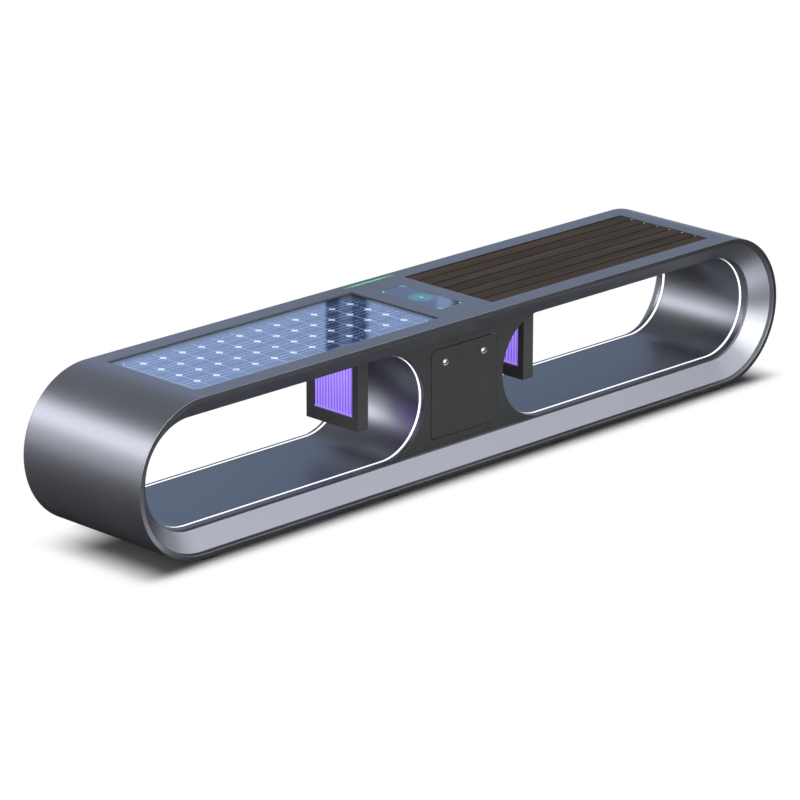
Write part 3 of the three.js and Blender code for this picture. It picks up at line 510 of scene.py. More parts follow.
def cut_plate(bm, step, before=()):
    """Fills the outlines that a mesh didn't have before, inner ones as holes, and draws them out"""
    edges = [edge for edge in bm.edges if edge not in before]
    faces = dict.fromkeys(face for edge in edges for face in edge.link_faces)
    bmesh.ops.delete(bm, geom=list(faces), context="FACES_ONLY")
    filled = bmesh.ops.triangle_fill(bm, use_beauty=True, edges=edges)
    thicken(bm, only(BMFace, filled["geom"]), step)


def pillar_panel(name, front, doorway):
    """A panel whose outer face stands at y = front"""
    side = math.copysign(1, front)
    middle, half, radius = bay("right")
    hollow_x = middle - half
    top = radius - panel_gap
    tip = math.asin((top - panel_tip) / radius)
    bm = bmesh.new()
    tips = []
    for hand in (1, -1):
        start = bm.verts.new((hand * (hollow_x - radius * math.cos(tip)), front, -radius * math.sin(tip)))
        arc = bmesh.ops.spin(bm, geom=[start], cent=(hand * hollow_x, front, 0), axis=(0, hand, 0),
                             angle=2 * tip, steps=hollow_steps)
        end = only(BMVert, arc["geom_last"])[0]
        tips.append([bm.verts.new((v.co.x, front, math.copysign(top, v.co.z))) for v in (start, end)])
        bm.edges.new((start, tips[-1][0]))
        bm.edges.new((end, tips[-1][1]))
    for level in (0, 1):
        bm.edges.new((tips[0][level], tips[1][level]))
    if doorway:
        rounded_plate(bm, door_width + 2 * door_gap, door_height + 2 * door_gap, door_corner + door_gap,
                      at(0, front, 0) @ on_face, door_corner_steps)
    cut_plate(bm, (0, -side * panel_wall, 0))
    bmesh.ops.recalc_face_normals(bm, faces=bm.faces)
    reach = rolled_share * radius
    rolled = [e for e in bm.edges
              if all(abs(v.co.y - front) < panel_gap and abs(v.co.z) < reach for v in e.verts)
              and e.calc_face_angle(0) > sharp_angle]
    bevel(bm, rolled, rolled_edge, rolled_steps)
    bm.transform(on_axis)
    return finish_piece(name, bm, panel_paint)


fit(pillar_panel("front_panel", panel_front, True), "bench", "panel_paint", "front_pillar_panel")
fit(pillar_panel("rear_panel", panel_back, False), "bench", "panel_paint", "rear_pillar_panel")

# Solar panel
# A sheet of toughened glass lies under the edge of its opening, in a bead of sealant whose dark
# blue is painted shade, the dark line along the opening's edge. The wafers behind it are cut from a
# regular grid, with cropped corners, thin contact fingers and two tinned conductors each, and the
# tray and the junction box hang below.

glass = Finish("solar_glass", base_color=(0.91, 0.99, 1.0), metallic=1.0, roughness=0.03)
clear = glass.node("ShaderNodeBsdfTransparent", None, {"Color": (0.95, 0.97, 0.98)})
front_face = 1 - glass.node("ShaderNodeNewGeometry", output="Backfacing")
mirrored = front_face * glass.node("ShaderNodeFresnel", None, {"IOR": 2.1})
polished = Signal(glass, glass.shader.outputs[0])
pane = glass.node("ShaderNodeMixShader", None, {0: mirrored, 1: clear, 2: polished})
glass.feed(glass.tree.nodes["Material Output"].inputs["Surface"], pane)

glass_corner = 2 * mm
glass_edge = 0.6 * mm
glass_size = glass_high - glass_low
middle = (glass_low + glass_high) / 2
bm = bmesh.new()
slab(bm, glass_size.x, glass_size.y, glass_corner, at(middle.x, middle.y, glass_low.z), (0, 0, glass_size.z))
fit(finish_piece("solar_cover_glass", bm, glass, glass_edge), "bench", "solar_glass", "solar_glass")

# The bead's dark blue is painted shade: it stands in for the shadow line along the opening's edge.
sealant_and_shade = Finish("sealant_and_shade", specular_ior_level=0.3)
sealant_and_shade.set("Base Color", sealant_and_shade.mix(sealant_and_shade.noise(300), (0.026, 0.030, 0.042), (0.038, 0.043, 0.058)))
sealant_and_shade.set("Roughness", 0.6 + 0.1 * sealant_and_shade.noise(900))

half_long = glass_size.x / 2 - pocket_lap
half_wide = glass_size.y / 2 - pocket_lap
bead_width = 2.6 * mm
bead_slope = 2.3 * mm
bead_recess = 0.5 * mm
bead_top = band_high.z - bead_recess
bead_middle = seat_gap + bead_width / 2
bm = bmesh.new()
for inset in (seat_gap, seat_gap + bead_width):
    rounded_plate(bm, 2 * (half_long - inset), 2 * (half_wide - inset), pocket_corner,
                  at(middle.x, middle.y, glass_high.z))
cut_plate(bm, (0, 0, bead_top - glass_high.z))
inner = [e for e in bm.edges if all(abs(v.co.z - bead_top) < merge_gap
                                    and abs(v.co.x - middle.x) < half_long - bead_middle
                                    and abs(v.co.y - middle.y) < half_wide - bead_middle for v in e.verts)]
bevel(bm, inner, bead_slope, steps=1)
fit(finish_piece("glazing_bead", bm, sealant_and_shade), "bench", "rubber")

cell_pitch = 69.18 * mm
gap_half = 0.8 * mm
crop = 12.3 * mm
wafer_middle_height = 0.3 * mm
array_left, array_right = 20 * mm, 20 * mm
array_front, array_rear = 11 * mm, 25 * mm
array_corner = 18 * mm
conductor_share = 0.25
conductor_width = 1.4 * mm
finger_pitch = 2.2 * mm
finger_width = 0.25 * mm
backsheet = (0.80, 0.86, 0.94)
tinned = (0.50, 0.58, 0.74)
edge_ink = (0.011, 0.016, 0.030)

cells = Finish("solar_cells", coat_weight=1.0, coat_roughness=0.04)
centre = (-middle.x, -middle.y, -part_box("solar_cells")[1].z)
x, y, z = cells.axes(cells.node("ShaderNodeMapping", None, {"Vector": cells.place, "Location": centre}))
wafer = z > -wafer_middle_height
past_x = (x - (half_long - array_right)).most(-(x + (half_long - array_left)))
past_y = (y - (half_wide - array_rear)).most(-(y + (half_wide - array_front)))
array = past_x.most(past_y).most(past_x + past_y + array_corner) < 0
from_line = (y + cell_pitch / 2).off_line(cell_pitch)
from_column = (x + cell_pitch / 2).off_line(cell_pitch)
conductors = abs(from_line - conductor_share * cell_pitch) < conductor_width / 2
fingers = x.off_line(finger_pitch) < finger_width
column = (x + cell_pitch / 2).maths("SNAP", x + cell_pitch / 2, cell_pitch)
row = (y + cell_pitch / 2).maths("SNAP", y + cell_pitch / 2, cell_pitch)
tint = cells.node("ShaderNodeTexWhiteNoise", {"noise_dimensions": "2D"},
                  {"Vector": cells.node("ShaderNodeCombineXYZ", None, {"X": column, "Y": row})})
silicon = cells.mix(0.55 * tint + 0.45 * cells.noise(14), (0.022, 0.050, 0.22), (0.042, 0.090, 0.32))
silicon = cells.mix(0.25 * fingers, silicon, (0.35, 0.5, 0.7))
lines = (from_column.least(from_line) < gap_half).most(conductors)
diamonds = from_column + from_line < crop
wafer_colour = cells.mix(diamonds, cells.mix(lines, silicon, tinned), backsheet)
cells.set("Base Color", cells.mix(array, edge_ink, cells.mix(wafer, backsheet, wafer_colour)))
cells.set("Metallic", 0.75 * wafer * array * (1 - lines.most(diamonds)))
cells.set("Roughness", 0.5 - 0.3 * wafer + 0.08 * cells.noise(200))
coat(cells, "solar_cells")

aluminium = Finish("mill_aluminium", metallic=1.0)
aluminium.vary(aluminium.noise(60, detail=3, stretch=(1, 18, 18)), low=(0.50, 0.51, 0.53),
               high=(0.66, 0.67, 0.68), roughness=0.30, spread=0.16)
coat(aluminium, "solar_tray", "light_driver")

black_plastic = Finish("black_plastic", specular_ior_level=0.4)
grain = black_plastic.noise(1800)
black_plastic.vary(grain, low=(0.014, 0.015, 0.017), high=(0.024, 0.025, 0.027), roughness=0.5, spread=0.15)
black_plastic.relief(grain, strength=0.2, distance=0.06 * mm)
coat(black_plastic, "junction_box", "charge_controller")

# Wooden slats
# Seven oiled hardwood boards lie side by side in a painted tray, with open joints that drain. Below
# the board tops their sides are painted near black, as painted shade in the joints. The outer two are
# redder, their long edges are rounded so that they don't catch, and a pale cap at the right end of
# each joint is painted light, standing in for the light that shows through the open joint.

slat_count = 7
slat_round = 2.2 * mm
slat_edge = 0.8 * mm
slat_tones = (1.0, 0.95, 1.04, 0.98, 1.02, 0.95, 1.0)
outer_wood = ((0.042, 0.030, 0.021), (0.018, 0.012, 0.008))
inner_wood = ((0.040, 0.031, 0.023), (0.017, 0.012, 0.009))
grain_stops = ((0.34, 0.0), (0.5, 0.55), (0.66, 1.0))
pore_length = 14
pore_fine = 620
next_board = Vector((0.61, 0.37, 0.23))
board_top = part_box("slat_1")[1].z
joint_shade_depth = 0.45 * mm
joint_shade = (0.003, 0.002, 0.002)
across_x = Matrix.Rotation(math.pi / 2, 4, "Y")


def wood(name, number, tone, pale, dark):
    """Straight grain along X, with its own place in the tree for each board"""
    finish = Finish(name, specular_ior_level=0.05)
    shift = number * next_board
    rings = finish.noise(1.0, 5, (1.6, 46, 46), shift)
    pores = finish.noise(1.0, 3, (pore_length, pore_fine, pore_fine), shift)
    drift = finish.noise(1.0, 2, (2.2, 9, 9), shift)
    figure = 0.62 * rings + 0.28 * drift + 0.10 * pores
    stops = [(stop, tuple(tone * (d + (p - d) * share) for d, p in zip(dark, pale)))
             for stop, share in grain_stops]
    # The sides below the board top are painted near black: painted shade in the joints.
    in_joint = finish.axes()[2] < board_top - joint_shade_depth
    grained = finish.mix(0.55 * (pores < 0.36), finish.blend(figure, stops), dark)
    finish.set("Base Color", finish.mix(0.85 * in_joint, grained, joint_shade))
    finish.set("Roughness", 0.50 + 0.22 * rings)
    finish.relief(0.7 * pores + 0.3 * rings, strength=0.35, distance=0.25 * mm)
    return finish


for number in range(1, slat_count + 1):
    low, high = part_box(f"slat_{number}")
    size, middle = high - low, (low + high) / 2
    outer = number in (1, slat_count)
    colours = outer_wood if outer else inner_wood
    board_wood = wood(f"board_{number}", number, slat_tones[number - 1], *colours)
    bm = bmesh.new()
    slab(bm, size.z, size.y, slat_round, at(low.x, middle.y, middle.z) @ across_x, (size.x, 0, 0),
         steps=5)
    fit(finish_piece(f"board_{number}", bm, board_wood, slat_edge), "bench",
        "red_wood" if outer else "brown_wood", f"slat_{number}")

tray_steel = Finish("tray_steel", metallic=0.0)
tray_steel.vary(tray_steel.noise(40, detail=3), low=(0.05, 0.052, 0.055), high=(0.09, 0.092, 0.095),
                roughness=0.45, spread=0.12)
coat(tray_steel, "wood_tray")

# The pale caps are painted light: they stand in for the light that shows through the right ends of the open
# joints.
gap_light_caps = Finish("gap_light_caps", specular_ior_level=0.4)
gap_light_caps.set("Base Color", gap_light_caps.mix(gap_light_caps.noise(300), (0.74, 0.74, 0.73), (0.86, 0.86, 0.85)))
gap_light_caps.set("Roughness", 0.45 + 0.15 * gap_light_caps.noise(900))
cap_length = 5 * mm
cap_corner = 0.6 * mm
cap_setback = 0.5 * mm
cap_side = 0.3 * mm
cap_drop = 0.2 * mm
cap_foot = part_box("wood_tray")[1].z
for number in range(1, slat_count):
    near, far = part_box(f"slat_{number}"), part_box(f"slat_{number + 1}")
    start, end = sorted((near[0].y, near[1].y, far[0].y, far[1].y))[1:3]
    bm = bmesh.new()
    slab(bm, cap_length, end - start - 2 * cap_side, cap_corner,
         at(near[1].x - cap_setback - cap_length / 2, (start + end) / 2, cap_foot),
         (0, 0, board_top - cap_drop - cap_foot), steps=4)
    fit(finish_piece(f"joint_cap_{number}", bm, gap_light_caps), "bench", "grey_plastic")

# Wireless charger
# A phone lies on a cover of tinted glass in the middle of the seat. Rings and a plain bolt are
# printed under it over the coil, arcs mark three of its corners, and a small green pilot light
# shows in the fourth. The cover lies almost level with the seat, and the coil sits on a pedestal
# in a moulded case.

charger_low, charger_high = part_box("charger_cover")
cover_recess = 0.4 * mm
cover_top = band_high.z - cover_recess
cover_edge = 0.5 * mm
ring_radii = (17 * mm, 26 * mm, 35 * mm)
ring_width = 1.2 * mm
ring_share = 0.45
arc_width = 2.6 * mm
arc_inset = 2.4 * mm
arc_run = 2 * mm
bolt_half = 10 * mm
bolt_point = 11 * mm
bolt_offset = 1.5 * mm
bolt_lean_share = 0.45
bolt_taper_share = 0.32
haze_start, haze_end = 10 * mm, 44 * mm
haze_share = 0.16
pilot_radius = 4 * mm
pilot_offset = 7 * mm
pilot_clear = 9.6 * mm
teal = (0.10, 0.62, 0.50)


def half_bolt(x, y):
    """The half of the bolt that lies behind the middle of the cover"""
    slant = x + bolt_lean_share * y
    return (y > 0) * (y < bolt_half) * (abs(slant - bolt_offset) < (bolt_point - y) * bolt_taper_share)


cover = Finish("charger_cover", roughness=0.05, specular_ior_level=0.55)
x, y = cover.axes()[:2]
from_middle = x.diagonal(y)
marks = half_bolt(x, y).most(half_bolt(-x, -y))
for radius in ring_radii:
    marks = marks.most(ring_share * (abs(from_middle - radius) < ring_width / 2))
half_x, half_y = charger_high.x - charger_corner, charger_high.y - charger_corner
from_corner = (abs(x) - half_x).most(0).diagonal((abs(y) - half_y).most(0))
in_corner = (abs(x) > half_x - arc_run) * (abs(y) > half_y - arc_run)
marks = marks.most(in_corner * (abs(from_corner - (charger_corner - arc_inset)) < arc_width / 2))
from_pilot = (x - (half_x + pilot_offset)).diagonal(y + (half_y + pilot_offset))
marks = marks * (from_pilot > pilot_clear)
haze = haze_share * (1 - from_middle.fade(haze_start, haze_end))
cover.set("Base Color", cover.mix(marks.most(haze), (0.026, 0.046, 0.100), teal))
marked = cover.mix(marks, (0, 0, 0), (0.06, 0.46, 0.36))
cover.glow(cover.mix(from_pilot < pilot_radius, marked, (0.30, 2.0, 0.45)), 0.5)

bm = bmesh.new()
slab(bm, charger_high.x - charger_low.x, charger_high.y - charger_low.y, charger_corner,
     at(0, 0, charger_low.z), (0, 0, cover_top - charger_low.z), steps=12)
fit(finish_piece("charger_glass", bm, cover, cover_edge, 3), "bench", "charger_glass", "charger_cover")

copper = Finish("enamelled_copper", metallic=1.0)
turns = copper.node("ShaderNodeTexWave", {"wave_type": "RINGS", "rings_direction": "Z"},
                    {"Vector": copper.place, "Scale": 180})
copper.vary(turns, low=(0.30, 0.11, 0.045), high=(0.62, 0.28, 0.13), roughness=0.24, spread=0.2)
coat(copper, "charger_coil")
coat(black_plastic, "charger_case")

# Status light
# A slim moulded lens along the rear edge of the seat shows the charge. It glows green and fades
# towards its ends.

lens_edge = 0.5 * mm
fade_start_share, fade_end_share = 0.35, 1.05
status = Finish("green_light", roughness=0.25)
lit = 1 - abs(status.axes()[0]).fade(fade_start_share * lens_high.x, fade_end_share * lens_high.x)
status.set("Base Color", status.mix(lit, (0.09, 0.20, 0.14), (0.12, 0.55, 0.25)))
status.glow(status.mix(lit, (0.01, 0.05, 0.02), (0.07, 0.70, 0.16)), 0.42)
bm = bmesh.new()
lens_size = lens_high - lens_low
slab(bm, lens_size.x, lens_size.y, lens_size.y / 2, at(0, (lens_low.y + lens_high.y) / 2, lens_low.z),
     (0, 0, lens_size.z), steps=10)
fit(finish_piece("status_light", bm, status, lens_edge), "bench", "green_light", "status_lens")

# Insect lamps
# One hangs in each tunnel beside the pillar: a sheet-metal frame with an open window on both
# faces, a charged grille of bars in it, and a violet tube panel that glows behind the bars.

lamp_paint = Finish("lamp_paint", metallic=0.18, specular_ior_level=0.6)
speckle = lamp_paint.noise(1100, detail=3)
lamp_paint.vary(speckle, low=(0.026, 0.026, 0.029), high=(0.040, 0.040, 0.044), roughness=0.42, spread=0.12)
lamp_paint.relief(speckle, strength=0.1, distance=0.06 * mm)

window_low, window_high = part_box("left_lamp_grille")
# The bars are no lamp: their violet colour and glow, brighter towards the top, are painted light from the
# tube panel behind them.
lit_bars = Finish("lit_bars", roughness=0.4, base_color=(0.30, 0.20, 0.62), metallic=0.2)
lift = lit_bars.axes()[2].fade(window_low.z, window_high.z)
lit_bars.glow(lit_bars.mix(lift, (0.38, 0.26, 0.82), (0.52, 0.39, 0.94)), 0.68)
tubes = Finish("violet_light", roughness=0.35, base_color=(0.16, 0.08, 0.42))
lift = tubes.axes()[2].fade(window_low.z, window_high.z)
tubes.glow(tubes.mix(lift, (0.12, 0.06, 0.45), (0.19, 0.10, 0.66)), 1.0)

bar_pitch = 11 * mm
bar_width = 4 * mm
bar_round = 1 * mm
end_plate = 3 * mm
lamp_corner = 3 * mm
window_corner = 1 * mm
lamp_edge = 0.8 * mm


def window_frame(name, outer, window):
    """A deep frame along X with a window through it"""
    bm = bmesh.new()
    start = outer[0].x
    rims = ((outer, 0, lamp_corner, 5), (window, panel_gap, window_corner, 3))
    for (low, high), gap, corner, steps in rims:
        middle = (low + high) / 2
        rounded_plate(bm, high.z - low.z + 2 * gap, high.y - low.y + 2 * gap, corner,
                      at(start, middle.y, middle.z) @ across_x, steps)
    cut_plate(bm, (outer[1].x - start, 0, 0))
    return finish_piece(name, bm, lamp_paint, lamp_edge)


def bar(bm, low, high):
    size, middle = high - low, (low + high) / 2
    cube = bmesh.ops.create_cube(bm, size=1, matrix=at(*middle) @ Matrix.Diagonal((*size, 1)))
    edges = list(dict.fromkeys(edge for vert in cube["verts"] for edge in vert.link_edges))
    bevel(bm, edges, bar_round, steps=2)


def lamp_bars(name, low, high):
    bm = bmesh.new()
    count = math.floor((high.y - low.y - bar_width) / bar_pitch) + 1
    first = (low.y + high.y) / 2 - (count - 1) / 2 * bar_pitch - bar_width / 2
    bottom, top = low.z + end_plate / 2, high.z - end_plate / 2
    for near, far in ((low.x, low.x + bar_width), (high.x - bar_width, high.x)):
        for i in range(count):
            y = first + i * bar_pitch
            bar(bm, Vector((near, y, bottom)), Vector((far, y + bar_width, top)))
    for plate in (low.z, high.z - end_plate):
        bar(bm, Vector((low.x, low.y, plate)), Vector((high.x, high.y, plate + end_plate)))
    return finish_piece(name, bm, lit_bars)


for side in ("left", "right"):
    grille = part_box(f"{side}_lamp_grille")
    lamp = window_frame(f"{side}_lamp_housing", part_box(f"{side}_lamp_frame"), grille)
    fit(lamp, "bench", "lamp_paint", f"{side}_lamp_frame")
    fit(lamp_bars(f"{side}_lamp_bars", *grille), "bench", "lamp_bars", f"{side}_lamp_grille")
coat(tubes, "left_lamp_panel", "right_lamp_panel")

# Service door
# A plate of the pillar's steel that hangs on two hinges near its lower edge and drops forward.
# Its edge is rounded like the pillar's, and a pair of ears for each hinge is welded to its back.

door_wall = 2.5 * mm
door_edge = 1.0 * mm
lock_hole = 8.3 * mm
ear_width = 4.5 * mm
ear_radius = 6 * mm
ear_gap = 0.5 * mm
knuckle_width = 24 * mm
pin_radius = 3 * mm
pin_gap = 0.3 * mm
round_steps = 48


def middle_of(node):
    low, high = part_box(node)
    return (low + high) / 2


def knuckle(bm, x, width, pin, foot):
    """A round end about a pin, with its bore, on a straight foot that starts at y = foot"""
    before = set(bm.edges)
    start = x - width / 2
    lower = bm.verts.new((start, pin.y, pin.z - ear_radius))
    turned = bmesh.ops.spin(bm, geom=[lower], cent=(0, pin.y, pin.z), axis=(1, 0, 0), angle=math.pi,
                            steps=round_steps // 2)
    upper = only(BMVert, turned["geom_last"])[0]
    feet = [bm.verts.new((start, foot, v.co.z)) for v in (lower, upper)]
    for pair in ((lower, feet[0]), feet, (feet[1], upper)):
        bm.edges.new(pair)
    bmesh.ops.create_circle(bm, segments=round_steps // 2, radius=pin_radius + pin_gap,
                            matrix=at(start, pin.y, pin.z) @ across_x)
    cut_plate(bm, (width, 0, 0), before)


bm = bmesh.new()
rounded_plate(bm, door_width, door_height, door_corner, at(0, panel_front, axis_height) @ on_face,
              door_corner_steps)
for side in ("left", "right"):
    lock = middle_of(f"{side}_lock_housing")
    bmesh.ops.create_circle(bm, segments=round_steps, radius=lock_hole,
                            matrix=at(lock.x, panel_front, lock.z) @ on_face)
cut_plate(bm, (0, door_wall, 0))
for side in ("left", "right"):
    pin = middle_of(f"{side}_hinge_pin")
    for end in (-1, 1):
        x = pin.x + end * (knuckle_width / 2 + ear_gap + ear_width / 2)
        knuckle(bm, x, ear_width, pin, panel_front + door_wall)
fit(finish_piece("door_leaf", bm, panel_paint, door_edge, 3), "door", "panel_paint", "service_door")

# Hinges
# A swan-neck bracket, bent from zinc-plated strip, stands back from the doorway so that the door
# clears its frame as it drops. A headed pin joins each bracket to its pair of ears.

zinc = Finish("zinc_plate", metallic=1.0)
zinc.vary(zinc.noise(55, detail=3), low=(0.52, 0.53, 0.52), high=(0.66, 0.66, 0.62), roughness=0.26,
          spread=0.12)
coat(zinc, "left_hinge_bracket", "right_hinge_bracket")
pin_head_radius = 4.5 * mm
pin_head = 2 * mm
pin_ease = 0.4 * mm


def turned_piece(bm, axis, points, closed=False):
    """A turned shape from points that give a radius and a place along its axis"""
    verts = [bm.verts.new((radius, 0, along)) for radius, along in points]
    pairs = list(zip(verts, verts[1:])) + ([(verts[-1], verts[0])] if closed else [])
    geometry = verts + [bm.edges.new(pair) for pair in pairs]
    bmesh.ops.spin(bm, geom=geometry, cent=(0, 0, 0), axis=(0, 0, 1), angle=2 * math.pi,
                   steps=round_steps, use_merge=True)
    bmesh.ops.transform(bm, matrix=axis, verts=bm.verts)
    bmesh.ops.remove_doubles(bm, verts=bm.verts, dist=merge_gap)


for side in ("left", "right"):
    low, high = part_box(f"{side}_hinge_pin")
    half = (high.x - low.x) / 2
    head = [(0, -half), (pin_head_radius - pin_ease, -half), (pin_head_radius, pin_ease - half),
            (pin_head_radius, pin_head - half), (pin_radius, pin_head - half)]
    other_head = [(radius, -along) for radius, along in head[::-1]]
    bm = bmesh.new()
    turned_piece(bm, Matrix.Translation((low + high) / 2) @ across_x, head + other_head)
    fit(finish_piece(f"{side}_pivot_pin", bm, zinc), "bench", "zinc_steel", f"{side}_hinge_pin")

# Quarter-turn locks
# A flanged housing is held in the door by a hexagonal nut. The chromed core turns in it, with a
# plain dome in front and a pawl behind that reaches past the door's frame when it is locked.

chrome = Finish("chrome_plate", metallic=1.0)
chrome.vary(chrome.noise(240, detail=3), low=(0.34, 0.35, 0.37), high=(0.41, 0.42, 0.44), roughness=0.12,
            spread=0.08)
flange_radius = 10.5 * mm
flange_height = 1.5 * mm
barrel_radius = 8 * mm
barrel_behind = 5 * mm
nut_radius = 12 * mm
nut_height = 3.5 * mm
nut_gap = 0.05 * mm
housing_edge = 0.25 * mm
spindle_radius = 5 * mm
spindle_gap = 0.3 * mm
dome_radius = 9.5 * mm
dome_height = 4.8 * mm
dome_steps = 14
core_edge = 0.2 * mm
pawl_width = 16 * mm
pawl_wall = 3 * mm
pawl_corner = 3 * mm
ease = 0.4 * mm
into_door = Matrix.Rotation(-math.pi / 2, 4, "X")

for side, hand in (("left", -1), ("right", 1)):
    lock = middle_of(f"{side}_lock_housing")
    place = at(lock.x, panel_front, lock.z) @ into_door
    bore = spindle_radius + spindle_gap
    front = -spindle_gap - flange_height
    barrel_end = door_wall + barrel_behind
    bm = bmesh.new()
    turned_piece(bm, place, ((bore, front), (flange_radius - ease, front), (flange_radius, front + ease),
                             (flange_radius, -spindle_gap), (barrel_radius, -spindle_gap),
                             (barrel_radius, barrel_end), (bore, barrel_end)), closed=True)
    nut_place = place @ at(0, 0, door_wall + spindle_gap)
    before = set(bm.edges)
    bmesh.ops.create_circle(bm, segments=6, radius=nut_radius, matrix=nut_place)
    bmesh.ops.create_circle(bm, segments=round_steps // 2, radius=barrel_radius + nut_gap, matrix=nut_place)
    cut_plate(bm, (0, nut_height, 0), before)
    fit(finish_piece(f"{side}_lock_shell", bm, zinc, housing_edge), "door", "zinc_steel",
        f"{side}_lock_housing")

    core_low, core_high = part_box(f"{side}_lock_core")
    back = core_high.y - panel_front
    base = front - spindle_gap
    angles = [math.pi / 2 * i / dome_steps for i in range(1, dome_steps + 1)]
    dome = [(dome_radius * math.sin(a), base - dome_height * math.cos(a)) for a in angles]
    bm = bmesh.new()
    turned_piece(bm, place, ((0, base - dome_height), *dome, (spindle_radius, base),
                             (spindle_radius, back), (0, back)))
    reach = core_high.x - core_low.x - dome_radius
    pawl_place = at(lock.x - hand * reach / 2, panel_front + back - pawl_wall, lock.z) @ on_face
    slab(bm, reach, pawl_width, pawl_corner, pawl_place, (0, pawl_wall, 0), steps=5)
    fit(finish_piece(f"{side}_lock_knob", bm, chrome, core_edge), f"{side}_lock", "chrome",
        f"{side}_lock_core")

# Equipment
# The battery stands on a shelf behind the door, and the charge controller and the light driver
# hang on the plate over it. Their cases are moulded, cast and pressed, and have no labels.

case_grey = Finish("battery_case", specular_ior_level=0.4)
grain = case_grey.noise(1200, detail=3)
case_grey.vary(grain, low=(0.070, 0.074, 0.080), high=(0.094, 0.098, 0.104), roughness=0.48, spread=0.14)
case_grey.relief(grain, strength=0.2, distance=0.1 * mm)
coat(case_grey, "battery_pack")

# Studio
# A pale floor that keeps the bench's shadow near it, a white room, and cards that show only in
# the paint and the glass. The camera stands where the photograph was taken from.

scene = bpy.context.scene
scene.view_settings.view_transform = "Standard"
floor_half = 14
floor_near = (1.0, 1.0, 1.0)
floor_lit = (0.8, 0.8, 0.8)
black, white = (0, 0, 0), (1, 1, 1)
room_light = 0.022
end_fade = (0.10, 0.27)
side_fade = (0.205, 0.295)
rear_fade = (0.03, 0.24)


def lying(x, y, z, length, width):
    """The place of a sheet that lies level"""
    return at(x, y, z) @ Matrix.Diagonal((length, width, 1, 1))


def grid_piece(name, place, finish):
    """A flat sheet of one square metre, stretched and turned by its place"""
    bm = bmesh.new()
    bmesh.ops.create_grid(bm, x_segments=1, y_segments=1, size=0.5, matrix=place)
    made = finish_piece(name, bm, finish)
    return made


floor_paint = Finish("studio_floor", roughness=1.0, specular_ior_level=0.0)
background_rays = ("Is Camera Ray", "Is Glossy Ray", "Is Transmission Ray")
direct, glossy, through = floor_paint.node("ShaderNodeLightPath", None, None, background_rays)
seen = direct.most(glossy).most(through)
x, y = floor_paint.axes()[:2]
# Beyond a fade shaped round the bench, the floor glows white for camera, glossy and transmission rays:
# painted light that cuts the bench's shadow short, sooner behind its ends than in front.
past_end = abs(x) - straight_half
at_end = past_end.fade(-end_fade[0], end_fade[0])
rear_fading = at_end * y.fade(*rear_fade) + (1 - at_end) * y.fade(*side_fade)
away = 1 - (1 - past_end.fade(*end_fade)) * (1 - (-y).fade(*side_fade)) * (1 - rear_fading)
near_paint = floor_paint.mix(away, floor_near, black)
floor_paint.set("Base Color", floor_paint.mix(seen, floor_lit, near_paint))
floor_paint.glow(floor_paint.mix(seen * away, black, white), 1.0)
grid_piece("studio_floor", lying(0, 0, 0, 2 * floor_half, 2 * floor_half), floor_paint)

world = bpy.data.worlds.new("white_room")
world.use_nodes = True
sky = world.node_tree.nodes["Background"]
sky.inputs["Color"].default_value = (*white, 1)
paths = world.node_tree.nodes.new("ShaderNodeLightPath")
lit_share = world.node_tree.nodes.new("ShaderNodeMapRange")
lit_share.inputs["To Min"].default_value = 1.0
lit_share.inputs["To Max"].default_value = room_light
world.node_tree.links.new(paths.outputs["Is Diffuse Ray"], lit_share.inputs["Value"])
world.node_tree.links.new(lit_share.outputs[0], sky.inputs["Strength"])
scene.world = world

aim = Vector((0, 0, 0.25))


def grey(level, blue=1.03):
    return (level, level, level * blue)


def levels(*values):
    """Stops of grey light, evenly spaced"""
    return [(i / max(len(values) - 1, 1), grey(level)) for i, level in enumerate(values)]


def glossy_sheet(name, place, finish, colour):
    """A sheet that glows and is seen only in gloss"""
    finish.glow(colour, 1.0)
    made = grid_piece(name, place, finish)
    made.visible_camera = False
    made.visible_diffuse = False
    made.visible_shadow = False
    made.visible_transmission = False


def card(name, place, rising, across=((0, white),)):
    """A card for gloss, with stops of colour up it and stops of brightness across it"""
    glowing = Finish(name, base_color=black, roughness=1.0, specular_ior_level=0.0)
    colours = []
    for axis, stops in ((place.col[1].xyz, rising), (place.col[0].xyz, across)):
        along = glowing.node("ShaderNodeVectorMath", {"operation": "DOT_PRODUCT"},
                             {0: glowing.place, 1: axis / axis.length_squared}, "Value")
        share = along - place.translation.dot(axis) / axis.length_squared + 0.5
        colours.append(glowing.blend(share, stops))
    colour = glowing.node("ShaderNodeVectorMath", {"operation": "MULTIPLY"}, dict(enumerate(colours)))
    glossy_sheet(name, place, glowing, colour)


def toward(azimuth, height, distance, width, tall):
    """The place of a card that faces the bench, from an azimuth and a height in degrees"""
    turn, rise = math.radians(azimuth), math.radians(height)
    out = Vector((math.cos(turn) * math.cos(rise), math.sin(turn) * math.cos(rise), math.sin(rise)))
    facing = out.to_track_quat("Z", "Y").to_matrix().to_4x4()
    return Matrix.Translation(aim + distance * out) @ facing @ Matrix.Diagonal((width, tall, 1, 1))


